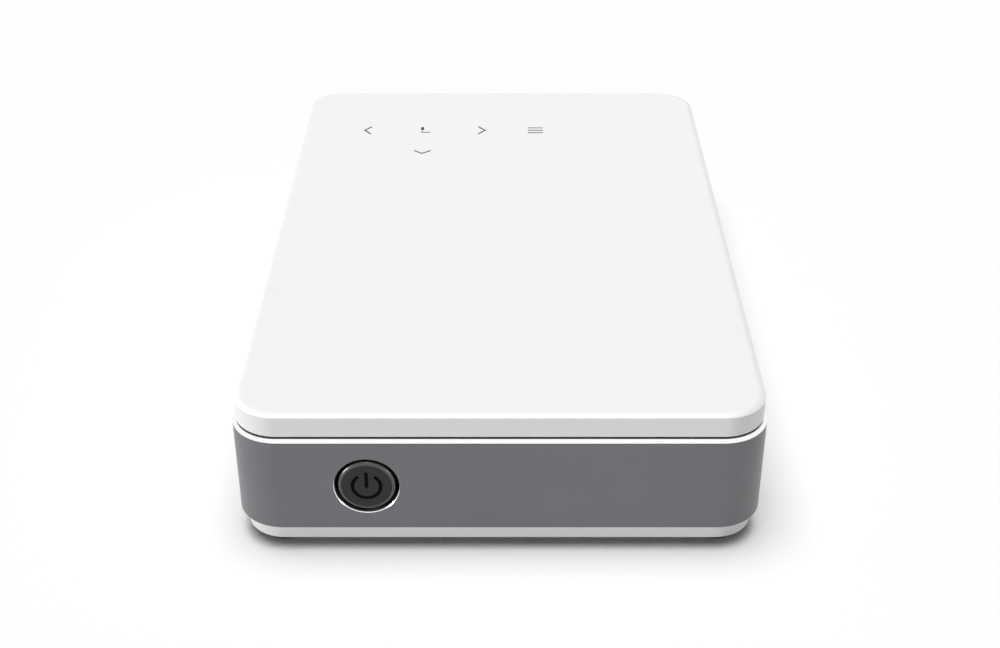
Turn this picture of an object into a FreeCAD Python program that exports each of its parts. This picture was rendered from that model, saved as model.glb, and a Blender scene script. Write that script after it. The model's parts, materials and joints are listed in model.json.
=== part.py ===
import FreeCAD, Part
import math
import os

Vector = FreeCAD.Vector

# A pocket LED projector: white top cover and base pan around an anodised metal band.
# Millimetres. Origin at the middle of the footprint on the table, +X across, +Y along, +Z up.
# The lens looks out along -X; the power button is in the -Y end; the sockets are in the +X side.

# ---- Housing --------------------------------------------------------------------------------
body_length = 156.0
body_width = 104.0
corner_radius = 9.4
foot_height = 2.1
base_skirt = 3.7
band_height = 20.95
reveal = 0.38
cover_skirt = 4.87
base_inset = 1.4
cover_inset = 0.7
band_wall = 2.0
band_chamfer = 0.59
base_floor = 1.6
base_wall = 1.8
base_bevel = 0.8
cover_plate = 1.8
cover_wall = 2.6
cover_bevel = 0.5
lip_height = 2.0
tongue_depth = 1.6
lip_gap = 0.1
ledge_thickness = 1.0
ledge_width = 1.6

# ---- Corner posts, long screws and feet -----------------------------------------------------
post_inset = 9.0
post_side = 7.0
post_seat = 3.0
long_screw_radius = 1.25
long_screw_head_radius = 2.2
long_screw_head = 1.6
long_screw_bite = 8.0
counterbore_gap = 0.3
screw_gap = 0.05
hole_gap = 0.2
pilot_end = 1.0
foot_radius = 5.5

# ---- Small screws ---------------------------------------------------------------------------
screw_sides = 8
small_screw_radius = 1.0
small_screw_head_radius = 1.8
small_screw_head = 1.2
small_screw_bite = 4.0
boss_wall = 1.5

# ---- Tripod insert, quarter-inch thread -----------------------------------------------------
tripod_x = 0.0
tripod_y = -4.0
tripod_thread_radius = 3.175
tripod_thread_depth = 7.0
tripod_insert_radius = 4.8
tripod_boss_wall = 2.0

# ---- Power button ---------------------------------------------------------------------------
button_from_side = 26.3
button_radius = 5.67
button_ring_gap = 0.65
button_bevel = 0.3
button_hole_chamfer = 0.25
button_travel = 0.5
button_flange = 1.3
button_flange_thickness = 1.0
button_seat_gap = 0.3
guide_gap = 0.3
guide_wall = 0.7
switch_side = 6.0
switch_depth = 3.4
switch_clearance = 1.0
plunger_side = 2.4
plunger_gap = 0.4
plunger_reach = 0.7
plunger_spare = 0.3
button_board_margin = 1.8
board_thickness = 1.2

# ---- Lens and focus -------------------------------------------------------------------------
lens_inset = 28.0
barrel_radius = 5.5
barrel_recess = 2.0
barrel_wall = 1.0
barrel_seat_wall = 1.7
running_fit = 0.05
focus_travel = 1.5
ring_wall = 1.3
ring_length = 4.6
ring_recess = 0.6
ring_grips = 10
ring_grip_depth = 0.4
ring_grip_width = 1.0
body_gap = 0.3
bezel_wall = 1.2
lens_gap = 0.05
lens_rim = 1.2
lens_flat = 0.8
front_bulge = 1.1
rear_recess = 0.7
key_half = 0.6
key_stand = 1.1
tube_wall = 1.6

# ---- Optical engine -------------------------------------------------------------------------
engine_inset = 12.5
engine_lift = 2.3
engine_wall = 1.6
engine_lid = 1.2
engine_top_gap = 4.0
prism_side = 13.0
prism_set_back = 2.0
prism_margin = 1.0
prism_to_chip = 2.5
barrel_to_prism = 0.6
lamp_to_plate = 7.0
dmd_width = 12.0
dmd_height = 9.0
dmd_depth = 2.0
dmd_gap = 0.3
dmd_board_length = 23.0
dmd_board_margin = 1.0
led_block_width = 10.0
led_block_thickness = 5.0
led_block_lift = 2.0
led_side = 3.2
led_thickness = 0.6
led_window_side = 6.0
collimator_radius = 4.2
collimator_thickness = 2.8
dichroic_thickness = 0.8
dichroic_length = 9.0
dichroic_before_prism = 6.0
lug_side = 6.0
lug_thickness = 2.0

# ---- Cooling --------------------------------------------------------------------------------
fan_headroom = 1.5
fan_depth = 10.0
fan_spacing = 2.0
fan_to_tilt = 11.0
fan_wall_gap = 0.2
fan_bore_wall = 0.9
fan_tip_gap = 0.6
fan_hub_radius = 5.2
fan_web = 1.5
fan_strut = 1.4
fan_struts = 4
fan_shaft_radius = 0.75
fan_axial_gap = 0.5
fan_blades = 7
fan_blade_thickness = 0.7
fan_blade_chord = 7.4
fan_blade_pitch = 38.0
fan_blade_camber = 0.9
fan_rib = 1.2
fan_rib_gap = 0.3
fan_rib_height = 6.0
sink_duct = 1.0
sink_depth = 25.0
sink_plate = 2.8
fin_thickness = 0.6
fin_pitch = 3.2
rail_height = 0.8
rail_width = 1.2
rail_inset = 3.0
pipe_radius = 2.0
pipe_headroom = 1.8
pipe_end_gap = 0.3

# ---- Vents ----------------------------------------------------------------------------------
slot_width = 2.2
slot_height = 13.0
slot_pitch = 4.6
exhaust_margin = 3.0
intake_after_audio = 12.0
intake_before_corner = 3.0
filter_thickness = 1.0
filter_margin = 2.0
filter_edge_gap = 0.2

# ---- Main board and sockets -----------------------------------------------------------------
main_board_z = 13.0
board_to_engine = 3.0
board_to_post = 1.0
board_corner = 4.0
port_recess = 0.5
port_gap = 0.3
port_body_gap = 0.3
port_nose_spare = 0.2
dc_from_end = 28.0
dc_width = 9.0
dc_height = 7.4
dc_depth = 13.0
dc_nose_radius = 3.5
dc_bore_radius = 2.85
dc_pin_radius = 1.0
dc_bore_depth = 9.5
video_from_dc = 15.0
video_width = 15.0
video_height = 5.6
video_depth = 11.5
video_corner = 1.4
data_from_video = 18.0
data_width = 13.2
data_height = 5.8
data_depth = 14.0
socket_shell = 0.4
socket_back = 2.0
tongue_thickness = 1.4
tongue_side_gap = 0.8
audio_from_data = 13.0
audio_width = 6.4
audio_height = 5.4
audio_depth = 12.0
audio_nose_radius = 2.5
audio_bore_radius = 1.8
audio_bore_depth = 11.0
shield_side = 27.0
shield_height = 3.2
shield_wall = 0.4
shield_x = 14.0
shield_y = 18.0
chip_height = 1.4
chip_spots = [(8.0, -42.0, 12.0), (22.0, -44.0, 8.0), (6.0, -20.0, 10.0), (14.0, 44.0, 7.0)]
capacitor_radius = 3.1
capacitor_height = 7.5
capacitor_pitch = 8.0
capacitor_x = 22.0
capacitor_y = -30.0
capacitors = 2

# ---- Touch panel, ribbons, speaker, receiver, lock ------------------------------------------
touch_inset = 8.0
touch_from_end = 32.0
touch_width = 62.0
touch_length = 28.0
touch_thickness = 1.0
ribbon_width = 8.0
ribbon_thickness = 0.3
ribbon_plug = 2.0
touch_ribbon_to_board = 14.4
mirror_ribbon_drop = 4.0
speaker_inset = 20.0
speaker_from_end = 36.0
speaker_side = 24.0
speaker_height = 5.0
speaker_rim = 1.4
diaphragm_depth = 1.8
speaker_slots = 6
speaker_slot_width = 1.6
speaker_slot_length = 15.0
speaker_slot_pitch = 3.0
window_width = 8.0
window_height = 4.0
window_flange = 1.0
window_flange_thickness = 0.8
receiver_side = 5.0
receiver_depth = 3.0
lock_from_side = 22.0
lock_width = 7.0
lock_height = 3.0
lock_plate_margin = 3.0
lock_plate_thickness = 1.2

# ---- Elevator foot --------------------------------------------------------------------------
tilt_inset = 14.0
tilt_to_engine = 13.0
tilt_wheel_radius = 8.5
tilt_wheel_proud = 0.4
tilt_wheel_thickness = 3.2
tilt_well_gap = 0.4
tilt_well_wall = 1.6
tilt_roof_gap = 0.3
tilt_neck_radius = 4.25
tilt_neck_spare = 1.4
tilt_clip_radius = 5.6
tilt_clip_thickness = 0.8
tilt_stem_radius = 2.5
tilt_flat = 2.0
tilt_flat_gap = 0.1
tilt_travel = 6.0
tilt_pad_radius = 4.6
tilt_pad_lift = 0.4
tilt_pad_thickness = 1.0
tilt_guide_wall = 1.2
tilt_guide_gap = 0.4
tilt_guide_air = 1.2

# ---- Levels and places worked out from the sizes above --------------------------------------
half_width = body_width / 2
half_length = body_length / 2
inner_x = half_width - band_wall
inner_y = half_length - band_wall
z_base = foot_height
z_floor = z_base + base_floor
z_band = z_base + base_skirt
z_band_top = z_band + band_height
z_ledge = z_band_top - tongue_depth
z_cover = z_band_top + reveal
z_top = z_cover + cover_skirt
z_ceiling = z_top - cover_plate
z_axis = (z_band + z_band_top - band_chamfer) / 2
z_board = main_board_z + board_thickness
z_pipe = z_ceiling - pipe_radius - pipe_headroom
z_engine = z_floor + engine_lift
z_engine_top = z_ceiling - engine_top_gap - engine_lid
post_x = half_width - post_inset
post_y = half_length - post_inset
button_x = -half_width + button_from_side
lock_x = half_width - lock_from_side
lens_y = half_length - lens_inset
engine_x = -half_width + engine_inset
prism_left = engine_x + engine_wall + prism_set_back
prism_x = prism_left + prism_side / 2
engine_right = prism_left + prism_side + prism_to_chip + dmd_depth
led_b_y = lens_y - prism_side / 2 - dichroic_before_prism
engine_y = led_b_y - lamp_to_plate - engine_wall
engine_far = lens_y + prism_side / 2 + prism_margin + engine_wall
pipe_b_x = engine_right + led_block_thickness / 2
tilt_x = -(half_width - tilt_inset)
tilt_y = engine_y - tilt_to_engine
z_tilt_wheel = z_base - tilt_wheel_proud
z_tilt_well = z_tilt_wheel + tilt_wheel_thickness + tilt_roof_gap
z_tilt_roof = z_tilt_well + tilt_well_wall
z_tilt_neck = z_tilt_roof + running_fit + tilt_clip_thickness + tilt_neck_spare
z_tilt_plate = z_tilt_neck + tilt_guide_air
window_y = tilt_y
ledge_x = inner_x - ledge_width
fan_side = z_ceiling - z_floor - fan_headroom
fan_x = -(ledge_x - fan_wall_gap)
fan_first_edge = tilt_y - fan_to_tilt
fan_centres = [fan_first_edge - fan_side / 2, fan_first_edge - fan_side * 3 / 2 - fan_spacing]
fan_z = z_floor + fan_side / 2
fan_radius = fan_side / 2 - fan_bore_wall
sink_x = fan_x + fan_depth + sink_duct
sink_near = fan_centres[1] - fan_side / 2
sink_z = z_floor + rail_height
board_left = engine_right + led_block_thickness + board_to_engine
board_right = inner_x - filter_thickness - filter_edge_gap
board_end = post_y - post_side / 2 - board_to_post
dc_y = -half_length + dc_from_end
video_y = dc_y + video_from_dc
data_y = video_y + data_from_video
audio_y = data_y + audio_from_data
intake_start = audio_y + intake_after_audio
intake_end = half_length - corner_radius - intake_before_corner
touch_left = -half_width + touch_inset
touch_right = touch_left + touch_width
touch_y = half_length - touch_from_end
speaker_x = half_width - speaker_inset
speaker_y = half_length - speaker_from_end
ring_bore = barrel_radius + running_fit
ring_radius = ring_bore + ring_wall
bezel_bore = ring_radius + body_gap
bezel_radius = bezel_bore + bezel_wall
port_face = half_width - port_recess
FAR = 400.0


# ---- Shape helpers --------------------------------------------------------------------------
def block(x0, x1, y0, y1, z0, z1):
    """Box between two corners."""
    return Part.makeBox(x1 - x0, y1 - y0, z1 - z0, Vector(x0, y0, z0))


def centred_block(x, y, side_x, side_y, z0, z1):
    """Box of the given sides, centred on x, y."""
    return block(x - side_x / 2, x + side_x / 2, y - side_y / 2, y + side_y / 2, z0, z1)


def rod_x(radius, x0, x1, y, z):
    """Cylinder along X from x0 to x1."""
    return Part.makeCylinder(radius, x1 - x0, Vector(x0, y, z), Vector(1, 0, 0))


def rod_y(radius, y0, y1, x, z):
    """Cylinder along Y from y0 to y1."""
    return Part.makeCylinder(radius, y1 - y0, Vector(x, y0, z), Vector(0, 1, 0))


def rod_z(radius, z0, z1, x, y):
    """Cylinder along Z from z0 to z1."""
    return Part.makeCylinder(radius, z1 - z0, Vector(x, y, z0), Vector(0, 0, 1))


def screw_prism(radius, z0, z1, x, y):
    """Upright eight-sided prism with its corners at the radius: the plain form of a screw or its hole."""
    corners = []
    for index in range(screw_sides):
        angle = 2 * math.pi * index / screw_sides
        corners.append(Vector(x + radius * math.cos(angle), y + radius * math.sin(angle), z0))
    return Part.Face(Part.makePolygon(corners + corners[:1])).extrude(Vector(0, 0, z1 - z0))


def rounded_outline(half_a, half_b, radius):
    """Closed wire in the XY plane: a rectangle with round corners."""
    edges = []
    for turn in range(4):
        side, end = (half_a, half_b) if turn % 2 == 0 else (half_b, half_a)
        centre = Vector(side - radius, end - radius, 0)
        start = Vector(side, -(end - radius), 0)
        corner = Vector(side, end - radius, 0)
        middle = centre + Vector(radius, radius, 0) / math.sqrt(2)
        after = Vector(side - radius, end, 0)
        pieces = [Part.LineSegment(start, corner).toShape(), Part.Arc(corner, middle, after).toShape()]
        for piece in pieces:
            piece.rotate(Vector(0, 0, 0), Vector(0, 0, 1), 90 * turn)
        edges += pieces
    return Part.Wire(edges)


def rounded_block(half_a, half_b, radius, z0, z1):
    """Upright prism with round corners, centred on the Z axis."""
    face = Part.Face(rounded_outline(half_a, half_b, radius))
    prism = face.extrude(Vector(0, 0, z1 - z0))
    prism.translate(Vector(0, 0, z0))
    return prism


def body_plate(inset, z0, z1):
    """Prism with the body's outline moved in by inset."""
    return rounded_block(half_width - inset, half_length - inset, corner_radius - inset, z0, z1)


def edges_at(shape, z):
    """The edges that lie flat at height z."""
    found = []
    for edge in shape.Edges:
        box = edge.BoundBox
        if abs(box.ZMin - z) < 0.001 and abs(box.ZMax - z) < 0.001:
            found.append(edge)
    return found


def slot_through_x(x0, x1, y, z, width, height):
    """Upright slot with bevelled ends, cut along X."""
    slot = block(x0, x1, y - width / 2, y + width / 2, z - height / 2, z + height / 2)
    return slot.makeChamfer(width / 4, [edge for edge in slot.Edges if edge.BoundBox.XLength > 0.001])


def level_slot_x(x0, x1, y, width, height):
    """Level slot with round ends at the axis height, cut along X."""
    radius = height / 2
    half = width / 2 - radius
    bar = block(x0, x1, y - half, y + half, z_axis - radius, z_axis + radius)
    return bar.fuse([rod_x(radius, x0, x1, y + side * half, z_axis) for side in (-1, 1)])


def level_slot_y(y0, y1, x, width, height):
    """Level slot with round ends at the axis height, cut along Y."""
    radius = height / 2
    half = width / 2 - radius
    bar = block(x - half, x + half, y0, y1, z_axis - radius, z_axis + radius)
    return bar.fuse([rod_y(radius, y0, y1, x + side * half, z_axis) for side in (-1, 1)])


def slot_row(start, end):
    """Evenly pitched slot places that fill the stretch from start to end."""
    count = int((end - start) / slot_pitch) + 1
    first = (start + end - (count - 1) * slot_pitch) / 2
    return [first + index * slot_pitch for index in range(count)]


def corner_spots():
    """Centres of the four corner posts."""
    return [(sx * post_x, sy * post_y) for sx in (-1, 1) for sy in (-1, 1)]


def board_spots():
    """Centres of the main board's two screw standoffs, on one diagonal."""
    near = -board_end + board_corner
    return [(board_left + board_corner, near), (board_right - board_corner, -near)]


def pad_spots():
    """Centres of the main board's two plain rests, on the other diagonal."""
    near = -board_end + board_corner
    return [(board_right - board_corner, near), (board_left + board_corner, -near)]


def lug_spots():
    """Centres of the optical engine's two lugs."""
    beyond = engine_far + lug_side / 2
    before = engine_y - lug_side / 2
    return [
        (engine_x + lug_side / 2 + boss_wall, beyond),
        (prism_x + led_block_width / 2 + lug_side / 2 + boss_wall / 2, before),
    ]


# ---- Housing --------------------------------------------------------------------------------
def make_top_cover():
    """White lid: plate, skirt, tongue that drops inside the band, and four screw posts."""
    lid = body_plate(cover_inset, z_cover, z_top)
    lid = lid.makeChamfer(cover_bevel, edges_at(lid, z_top))
    tongue = body_plate(band_wall + lip_gap, z_ledge, z_cover)
    lid = lid.fuse(tongue)
    lid = lid.cut(body_plate(cover_inset + cover_wall, z_ledge, z_ceiling))
    posts = [centred_block(x, y, post_side, post_side, z_axis, z_ceiling) for x, y in corner_spots()]
    pilot_top = z_axis + long_screw_bite + pilot_end
    pilots = [screw_prism(long_screw_radius + screw_gap, z_axis, pilot_top, x, y) for x, y in corner_spots()]
    return lid.fuse(posts).cut(pilots).removeSplitter()


def port_cutters():
    """Openings in the +X wall for the four sockets."""
    x0 = inner_x - port_nose_spare
    x1 = half_width + port_nose_spare
    cutters = []
    for y, width, height in ((video_y, video_width, video_height), (data_y, data_width, data_height)):
        half = width / 2 + port_gap
        cutters.append(block(x0, x1, y - half, y + half, z_board - port_gap, z_board + height + port_gap))
    cutters.append(rod_x(dc_nose_radius + port_gap, x0, x1, dc_y, z_board + dc_height / 2))
    cutters.append(rod_x(audio_nose_radius + port_gap, x0, x1, audio_y, z_board + audio_height / 2))
    return cutters


def vent_cutters():
    """Exhaust slots in the -X wall before the fans, intake slots in the +X wall."""
    cutters = []
    for y in slot_row(sink_near + exhaust_margin, fan_first_edge - exhaust_margin):
        cutters.append(slot_through_x(-half_width, -inner_x, y, z_axis, slot_width, slot_height))
    for y in slot_row(intake_start, intake_end):
        cutters.append(slot_through_x(inner_x, half_width, y, z_axis, slot_width, slot_height))
    return cutters


def make_band_frame():
    """Anodised ring with a bright chamfer, an inner ledge, vents and openings."""
    ring = body_plate(0, z_band, z_band_top)
    ring = ring.makeChamfer(band_chamfer, edges_at(ring, z_band_top))
    ring = ring.cut(body_plate(band_wall, z_band, z_band_top))
    ledge = body_plate(band_wall, z_ledge - ledge_thickness, z_ledge)
    opening = body_plate(band_wall + ledge_width, z_ledge - ledge_thickness, z_ledge)
    ledge = ledge.cut([opening, guide_room()])
    ring = ring.fuse(ledge)
    hole = button_radius + button_ring_gap
    rim = Vector(button_x, -half_length, z_axis)
    flare = Part.makeCone(hole + button_hole_chamfer, hole, button_hole_chamfer, rim, Vector(0, 1, 0))
    cutters = [
        rod_y(hole, -half_length, -inner_y, button_x, z_axis),
        flare,
        rod_x(bezel_radius, -half_width, -inner_x, lens_y, z_axis),
        level_slot_x(-half_width, -inner_x, window_y, window_width, window_height),
        level_slot_y(inner_y, half_length, lock_x, lock_width, lock_height),
    ]
    return ring.cut(cutters + port_cutters() + vent_cutters()).removeSplitter()


def base_solids():
    """What stands on the base floor: posts, standoffs, bosses, rails and ribs."""
    solids = [centred_block(x, y, post_side, post_side, z_base, z_axis) for x, y in corner_spots()]
    stud = (small_screw_radius + boss_wall) * 2
    for x, y in board_spots() + pad_spots():
        solids.append(centred_block(x, y, stud, stud, z_base, main_board_z))
    solids += [centred_block(x, y, stud, stud, z_base, z_engine) for x, y in lug_spots()]
    side = (tripod_insert_radius + tripod_boss_wall) * 2
    top = z_base + tripod_thread_depth
    solids.append(centred_block(tripod_x, tripod_y, side, side, z_base, top))
    side = (tilt_wheel_radius + tilt_well_gap + tilt_well_wall) * 2
    solids.append(centred_block(tilt_x, tilt_y, side, side, z_base, z_tilt_roof))
    for x in (sink_x + rail_inset, sink_x + sink_depth - rail_inset - rail_width):
        solids.append(block(x, x + rail_width, sink_near, fan_first_edge, z_base, sink_z))
    rib_z = z_floor + fan_rib_height
    fan_middle = fan_x + fan_depth / 2
    for y in ((fan_centres[0] + fan_centres[1]) / 2, sink_near - fan_rib_gap - fan_rib / 2):
        solids.append(centred_block(fan_middle, y, fan_depth, fan_rib, z_base, rib_z))
    return solids


def base_cutters():
    """Screw counterbores, insert bore, elevator well, speaker slots and room for the button."""
    cutters = [guide_room()]
    seat = z_axis - post_seat
    for x, y in corner_spots():
        cutters.append(screw_prism(long_screw_head_radius + counterbore_gap, z_base, seat, x, y))
        cutters.append(screw_prism(long_screw_radius + hole_gap, z_base, z_axis, x, y))
    tap = small_screw_radius + screw_gap
    deep = small_screw_bite + pilot_end
    cutters += [screw_prism(tap, main_board_z - deep, main_board_z, x, y) for x, y in board_spots()]
    lug_tip = z_engine + lug_thickness - small_screw_bite
    cutters += [screw_prism(tap, lug_tip, z_engine, x, y) for x, y in lug_spots()]
    cutters.append(rod_z(tripod_insert_radius, z_base, z_base + tripod_thread_depth, tripod_x, tripod_y))
    cutters.append(rod_z(tilt_wheel_radius + tilt_well_gap, z_base, z_tilt_well, tilt_x, tilt_y))
    cutters.append(rod_z(tilt_neck_radius + running_fit, z_base, z_tilt_roof, tilt_x, tilt_y))
    for index in range(speaker_slots):
        y = speaker_y + (index - (speaker_slots - 1) / 2) * speaker_slot_pitch
        cutters.append(centred_block(speaker_x, y, speaker_slot_length, speaker_slot_width, z_base, z_floor))
    return cutters


def make_base_pan():
    """White tray with a bevelled lower edge and a lip that stands inside the band."""
    tray = body_plate(base_inset, z_base, z_band)
    tray = tray.makeChamfer(base_bevel, edges_at(tray, z_base))
    tray = tray.fuse(body_plate(band_wall + lip_gap, z_band, z_band + lip_height))
    tray = tray.cut(body_plate(base_inset + base_wall, z_floor, z_band + lip_height))
    return tray.fuse(base_solids()).cut(base_cutters()).removeSplitter()


def make_rubber_feet():
    """Four round feet that hide the long screws."""
    return Part.makeCompound([rod_z(foot_radius, 0, z_base, x, y) for x, y in corner_spots()])


def make_housing_screws():
    """Four long screws from under the feet up into the cover's posts."""
    screws = []
    seat = z_axis - post_seat
    for x, y in corner_spots():
        head = screw_prism(long_screw_head_radius, seat - long_screw_head, seat, x, y)
        shank = screw_prism(long_screw_radius, seat - long_screw_head, z_axis + long_screw_bite, x, y)
        screws.append(head.fuse(shank).removeSplitter())
    return Part.makeCompound(screws)


def make_small_screws():
    """Pan-head screws driven down through the main board and the engine's lugs."""
    screws = []
    seats = [(x, y, z_board) for x, y in board_spots()]
    seats += [(x, y, z_engine + lug_thickness) for x, y in lug_spots()]
    for x, y, seat in seats:
        head = screw_prism(small_screw_head_radius, seat, seat + small_screw_head, x, y)
        shank = screw_prism(small_screw_radius, seat - small_screw_bite, seat + small_screw_head, x, y)
        screws.append(head.fuse(shank).removeSplitter())
    return Part.makeCompound(screws)


def make_tripod_insert():
    """Brass insert with a quarter-inch bore, open at both ends and moulded into the base."""
    body = rod_z(tripod_insert_radius, z_base, z_base + tripod_thread_depth, tripod_x, tripod_y)
    bore = rod_z(tripod_thread_radius, z_base, z_base + tripod_thread_depth, tripod_x, tripod_y)
    return body.cut(bore)


# ---- Power button ---------------------------------------------------------------------------
flange_front = -inner_y + button_seat_gap
flange_back = flange_front + button_flange_thickness
switch_front = flange_back + switch_clearance
switch_back = switch_front + switch_depth
plunger_tip = switch_front + plunger_reach
guide_bore = button_radius + button_flange + guide_gap


def guide_room():
    """Space that the base's lip and the band's ledge leave for the button's guide."""
    half = guide_bore + guide_wall + lip_gap
    return block(button_x - half, button_x + half, -inner_y, switch_back, z_axis - half, z_axis + half)


def make_power_button():
    """Round bevelled cap with a flange behind the wall."""
    cap = rod_y(button_radius, -half_length, flange_back, button_x, z_axis)
    front = [edge for edge in cap.Edges if abs(edge.BoundBox.YMax + half_length) < 0.001]
    cap = cap.makeChamfer(button_bevel, front)
    flange = rod_y(button_radius + button_flange, flange_front, flange_back, button_x, z_axis)
    return cap.fuse(flange).removeSplitter()


def make_switch_plunger():
    """Square pin of the tact switch, which travels with the cap."""
    half = plunger_side / 2
    return block(button_x - half, button_x + half, flange_back, plunger_tip, z_axis - half, z_axis + half)


def make_tact_switch():
    """Square switch on the button board, with a well for its plunger."""
    half = switch_side / 2
    body = block(button_x - half, button_x + half, switch_front, switch_back, z_axis - half, z_axis + half)
    well = plunger_tip + button_travel + plunger_spare
    wide = plunger_side / 2 + plunger_gap
    return body.cut(block(button_x - wide, button_x + wide, switch_front, well, z_axis - wide, z_axis + wide))


def make_button_guide():
    """Square sleeve between wall and board that guides the cap's round flange."""
    half = guide_bore + guide_wall
    sleeve = block(button_x - half, button_x + half, -inner_y, switch_back, z_axis - half, z_axis + half)
    return sleeve.cut(rod_y(guide_bore, -inner_y, switch_back, button_x, z_axis))


def make_button_board():
    """Small circuit board that carries the switch and closes the guide."""
    half = guide_bore + guide_wall + button_board_margin
    tall = guide_bore + guide_wall
    back = switch_back + board_thickness
    return block(button_x - half, button_x + half, switch_back, back, z_axis - tall, z_axis + tall)


# ---- Lens and focus -------------------------------------------------------------------------
barrel_front = -half_width + barrel_recess
barrel_back = prism_left - barrel_to_prism
ring_front = -half_width + ring_recess
ring_back = ring_front + ring_length
tube_front = ring_back + body_gap
key_front = tube_front + tube_wall + body_gap + focus_travel


def make_lens_bezel():
    """Fixed metal bezel in the wall that frames the focus ring."""
    sleeve = rod_x(bezel_radius, -half_width, -inner_x, lens_y, z_axis)
    return sleeve.cut(rod_x(bezel_bore, -half_width, -inner_x, lens_y, z_axis))


def make_focus_ring():
    """Notched ring that turns about the lens axis and drives the barrel in and out."""
    ring = rod_x(ring_radius, ring_front, ring_back, lens_y, z_axis)
    ring = ring.cut(rod_x(ring_bore, ring_front, ring_back, lens_y, z_axis))
    notches = []
    for index in range(ring_grips):
        inner = ring_bore + ring_wall / 2
        half = ring_grip_width / 2
        notch = block(ring_front, ring_front + ring_grip_depth, -half, half, inner, ring_radius + ring_wall)
        notch.rotate(Vector(0, 0, 0), Vector(1, 0, 0), 360 / ring_grips * index)
        notch.translate(Vector(0, lens_y, z_axis))
        notches.append(notch)
    return ring.cut(notches)


def make_lens_barrel():
    """Sliding barrel: a seat for the front lens, a bore that holds the rear one, and a key on top."""
    body = rod_x(barrel_radius, barrel_front, barrel_back, lens_y, z_axis)
    top = z_axis + barrel_radius + key_stand
    key = block(key_front, key_front + key_half * 2, lens_y - key_half, lens_y + key_half, z_axis, top)
    cuts = [
        rod_x(barrel_radius - barrel_seat_wall, barrel_front, barrel_back, lens_y, z_axis),
        rod_x(barrel_radius - barrel_wall, barrel_front, barrel_front + front_bulge + lens_rim, lens_y, z_axis),
    ]
    return body.fuse(key).cut(cuts).removeSplitter()


def make_front_lens():
    """Front projection lens: flat rear on its seat, rim, and a domed outer face."""
    radius = barrel_radius - barrel_wall - lens_gap
    clear = radius - lens_flat
    rear = barrel_front + front_bulge + lens_rim
    sphere = (clear * clear + front_bulge * front_bulge) / (2 * front_bulge)
    disc = rod_x(radius, rear - lens_rim, rear, lens_y, z_axis)
    dome = rod_x(clear, barrel_front, rear, lens_y, z_axis)
    dome = dome.common(Part.makeSphere(sphere, Vector(barrel_front + sphere, lens_y, z_axis)))
    return disc.fuse(dome).removeSplitter()


def make_rear_lens():
    """Flat-faced rear projection lens, facing the prism."""
    radius = barrel_radius - barrel_seat_wall - lens_gap
    front = barrel_back - rear_recess - lens_rim
    return rod_x(radius, front, front + lens_rim, lens_y, z_axis)


# ---- Optical engine -------------------------------------------------------------------------
def make_engine_housing():
    """Cast box with the lens tube, windows for the lamps and the mirror chip, and two lugs."""
    wall = engine_wall
    body = block(engine_x, engine_right, engine_y, engine_far, z_engine, z_engine_top)
    tube = rod_x(ring_bore + tube_wall, tube_front, engine_x, lens_y, z_axis)
    lug_top = z_engine + lug_thickness
    lugs = [centred_block(x, y, lug_side, lug_side, z_engine, lug_top) for x, y in lug_spots()]
    low = z_engine + wall
    x0 = engine_right - wall
    cavity = block(engine_x + wall, x0, engine_y + wall, engine_far - wall, low, z_engine_top)
    seat = centred_block(prism_x, lens_y, prism_side, prism_side, low, z_axis - prism_side / 2)
    body = body.fuse([tube] + lugs).cut(cavity).fuse(seat)
    slot_front = key_front - focus_travel - body_gap
    slot_back = key_front + key_half * 2 + body_gap
    side = key_half + body_gap
    window = led_window_side / 2
    sill = z_axis - window
    head = z_axis + window
    chip = dmd_width / 2 + dmd_gap
    tall = dmd_height / 2 + dmd_gap
    cuts = [
        rod_x(ring_bore, tube_front, engine_x + wall, lens_y, z_axis),
        block(slot_front, slot_back, lens_y - side, lens_y + side, z_axis, z_engine_top),
        block(prism_x - window, prism_x + window, engine_y, engine_y + wall, sill, head),
        block(x0, engine_right, led_b_y - window, led_b_y + window, sill, head),
        block(x0, engine_right, lens_y - chip, lens_y + chip, z_axis - tall, z_axis + tall),
    ]
    tap = small_screw_radius + hole_gap
    cuts += [screw_prism(tap, z_engine, z_engine + lug_thickness, x, y) for x, y in lug_spots()]
    return body.cut(cuts).removeSplitter()


def make_engine_lid():
    """Plate that closes the engine against dust."""
    return block(engine_x, engine_right, engine_y, engine_far, z_engine_top, z_engine_top + engine_lid)


def make_prism():
    """Two glass wedges cemented along the diagonal."""
    half = prism_side / 2
    signs = ((-1, -1), (1, -1), (1, 1), (-1, 1))
    corners = [Vector(prism_x + sx * half, lens_y + sy * half, z_axis - half) for sx, sy in signs]
    wedges = []
    for picked in ((0, 1, 2), (0, 2, 3)):
        points = [corners[index] for index in picked]
        wedges.append(Part.Face(Part.makePolygon(points + points[:1])).extrude(Vector(0, 0, prism_side)))
    return Part.makeCompound(wedges)


def make_mirror_chip():
    """Micro-mirror chip behind the prism."""
    middle = engine_right - dmd_depth / 2
    tall = dmd_height / 2
    return centred_block(middle, lens_y, dmd_depth, dmd_width, z_axis - tall, z_axis + tall)


def make_mirror_board():
    """Upright circuit board that carries the mirror chip."""
    y0 = led_b_y + led_block_width / 2 + dmd_board_margin
    low = z_engine + dmd_board_margin
    high = z_engine_top - dmd_board_margin
    return block(engine_right, engine_right + board_thickness, y0, y0 + dmd_board_length, low, high)


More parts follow.
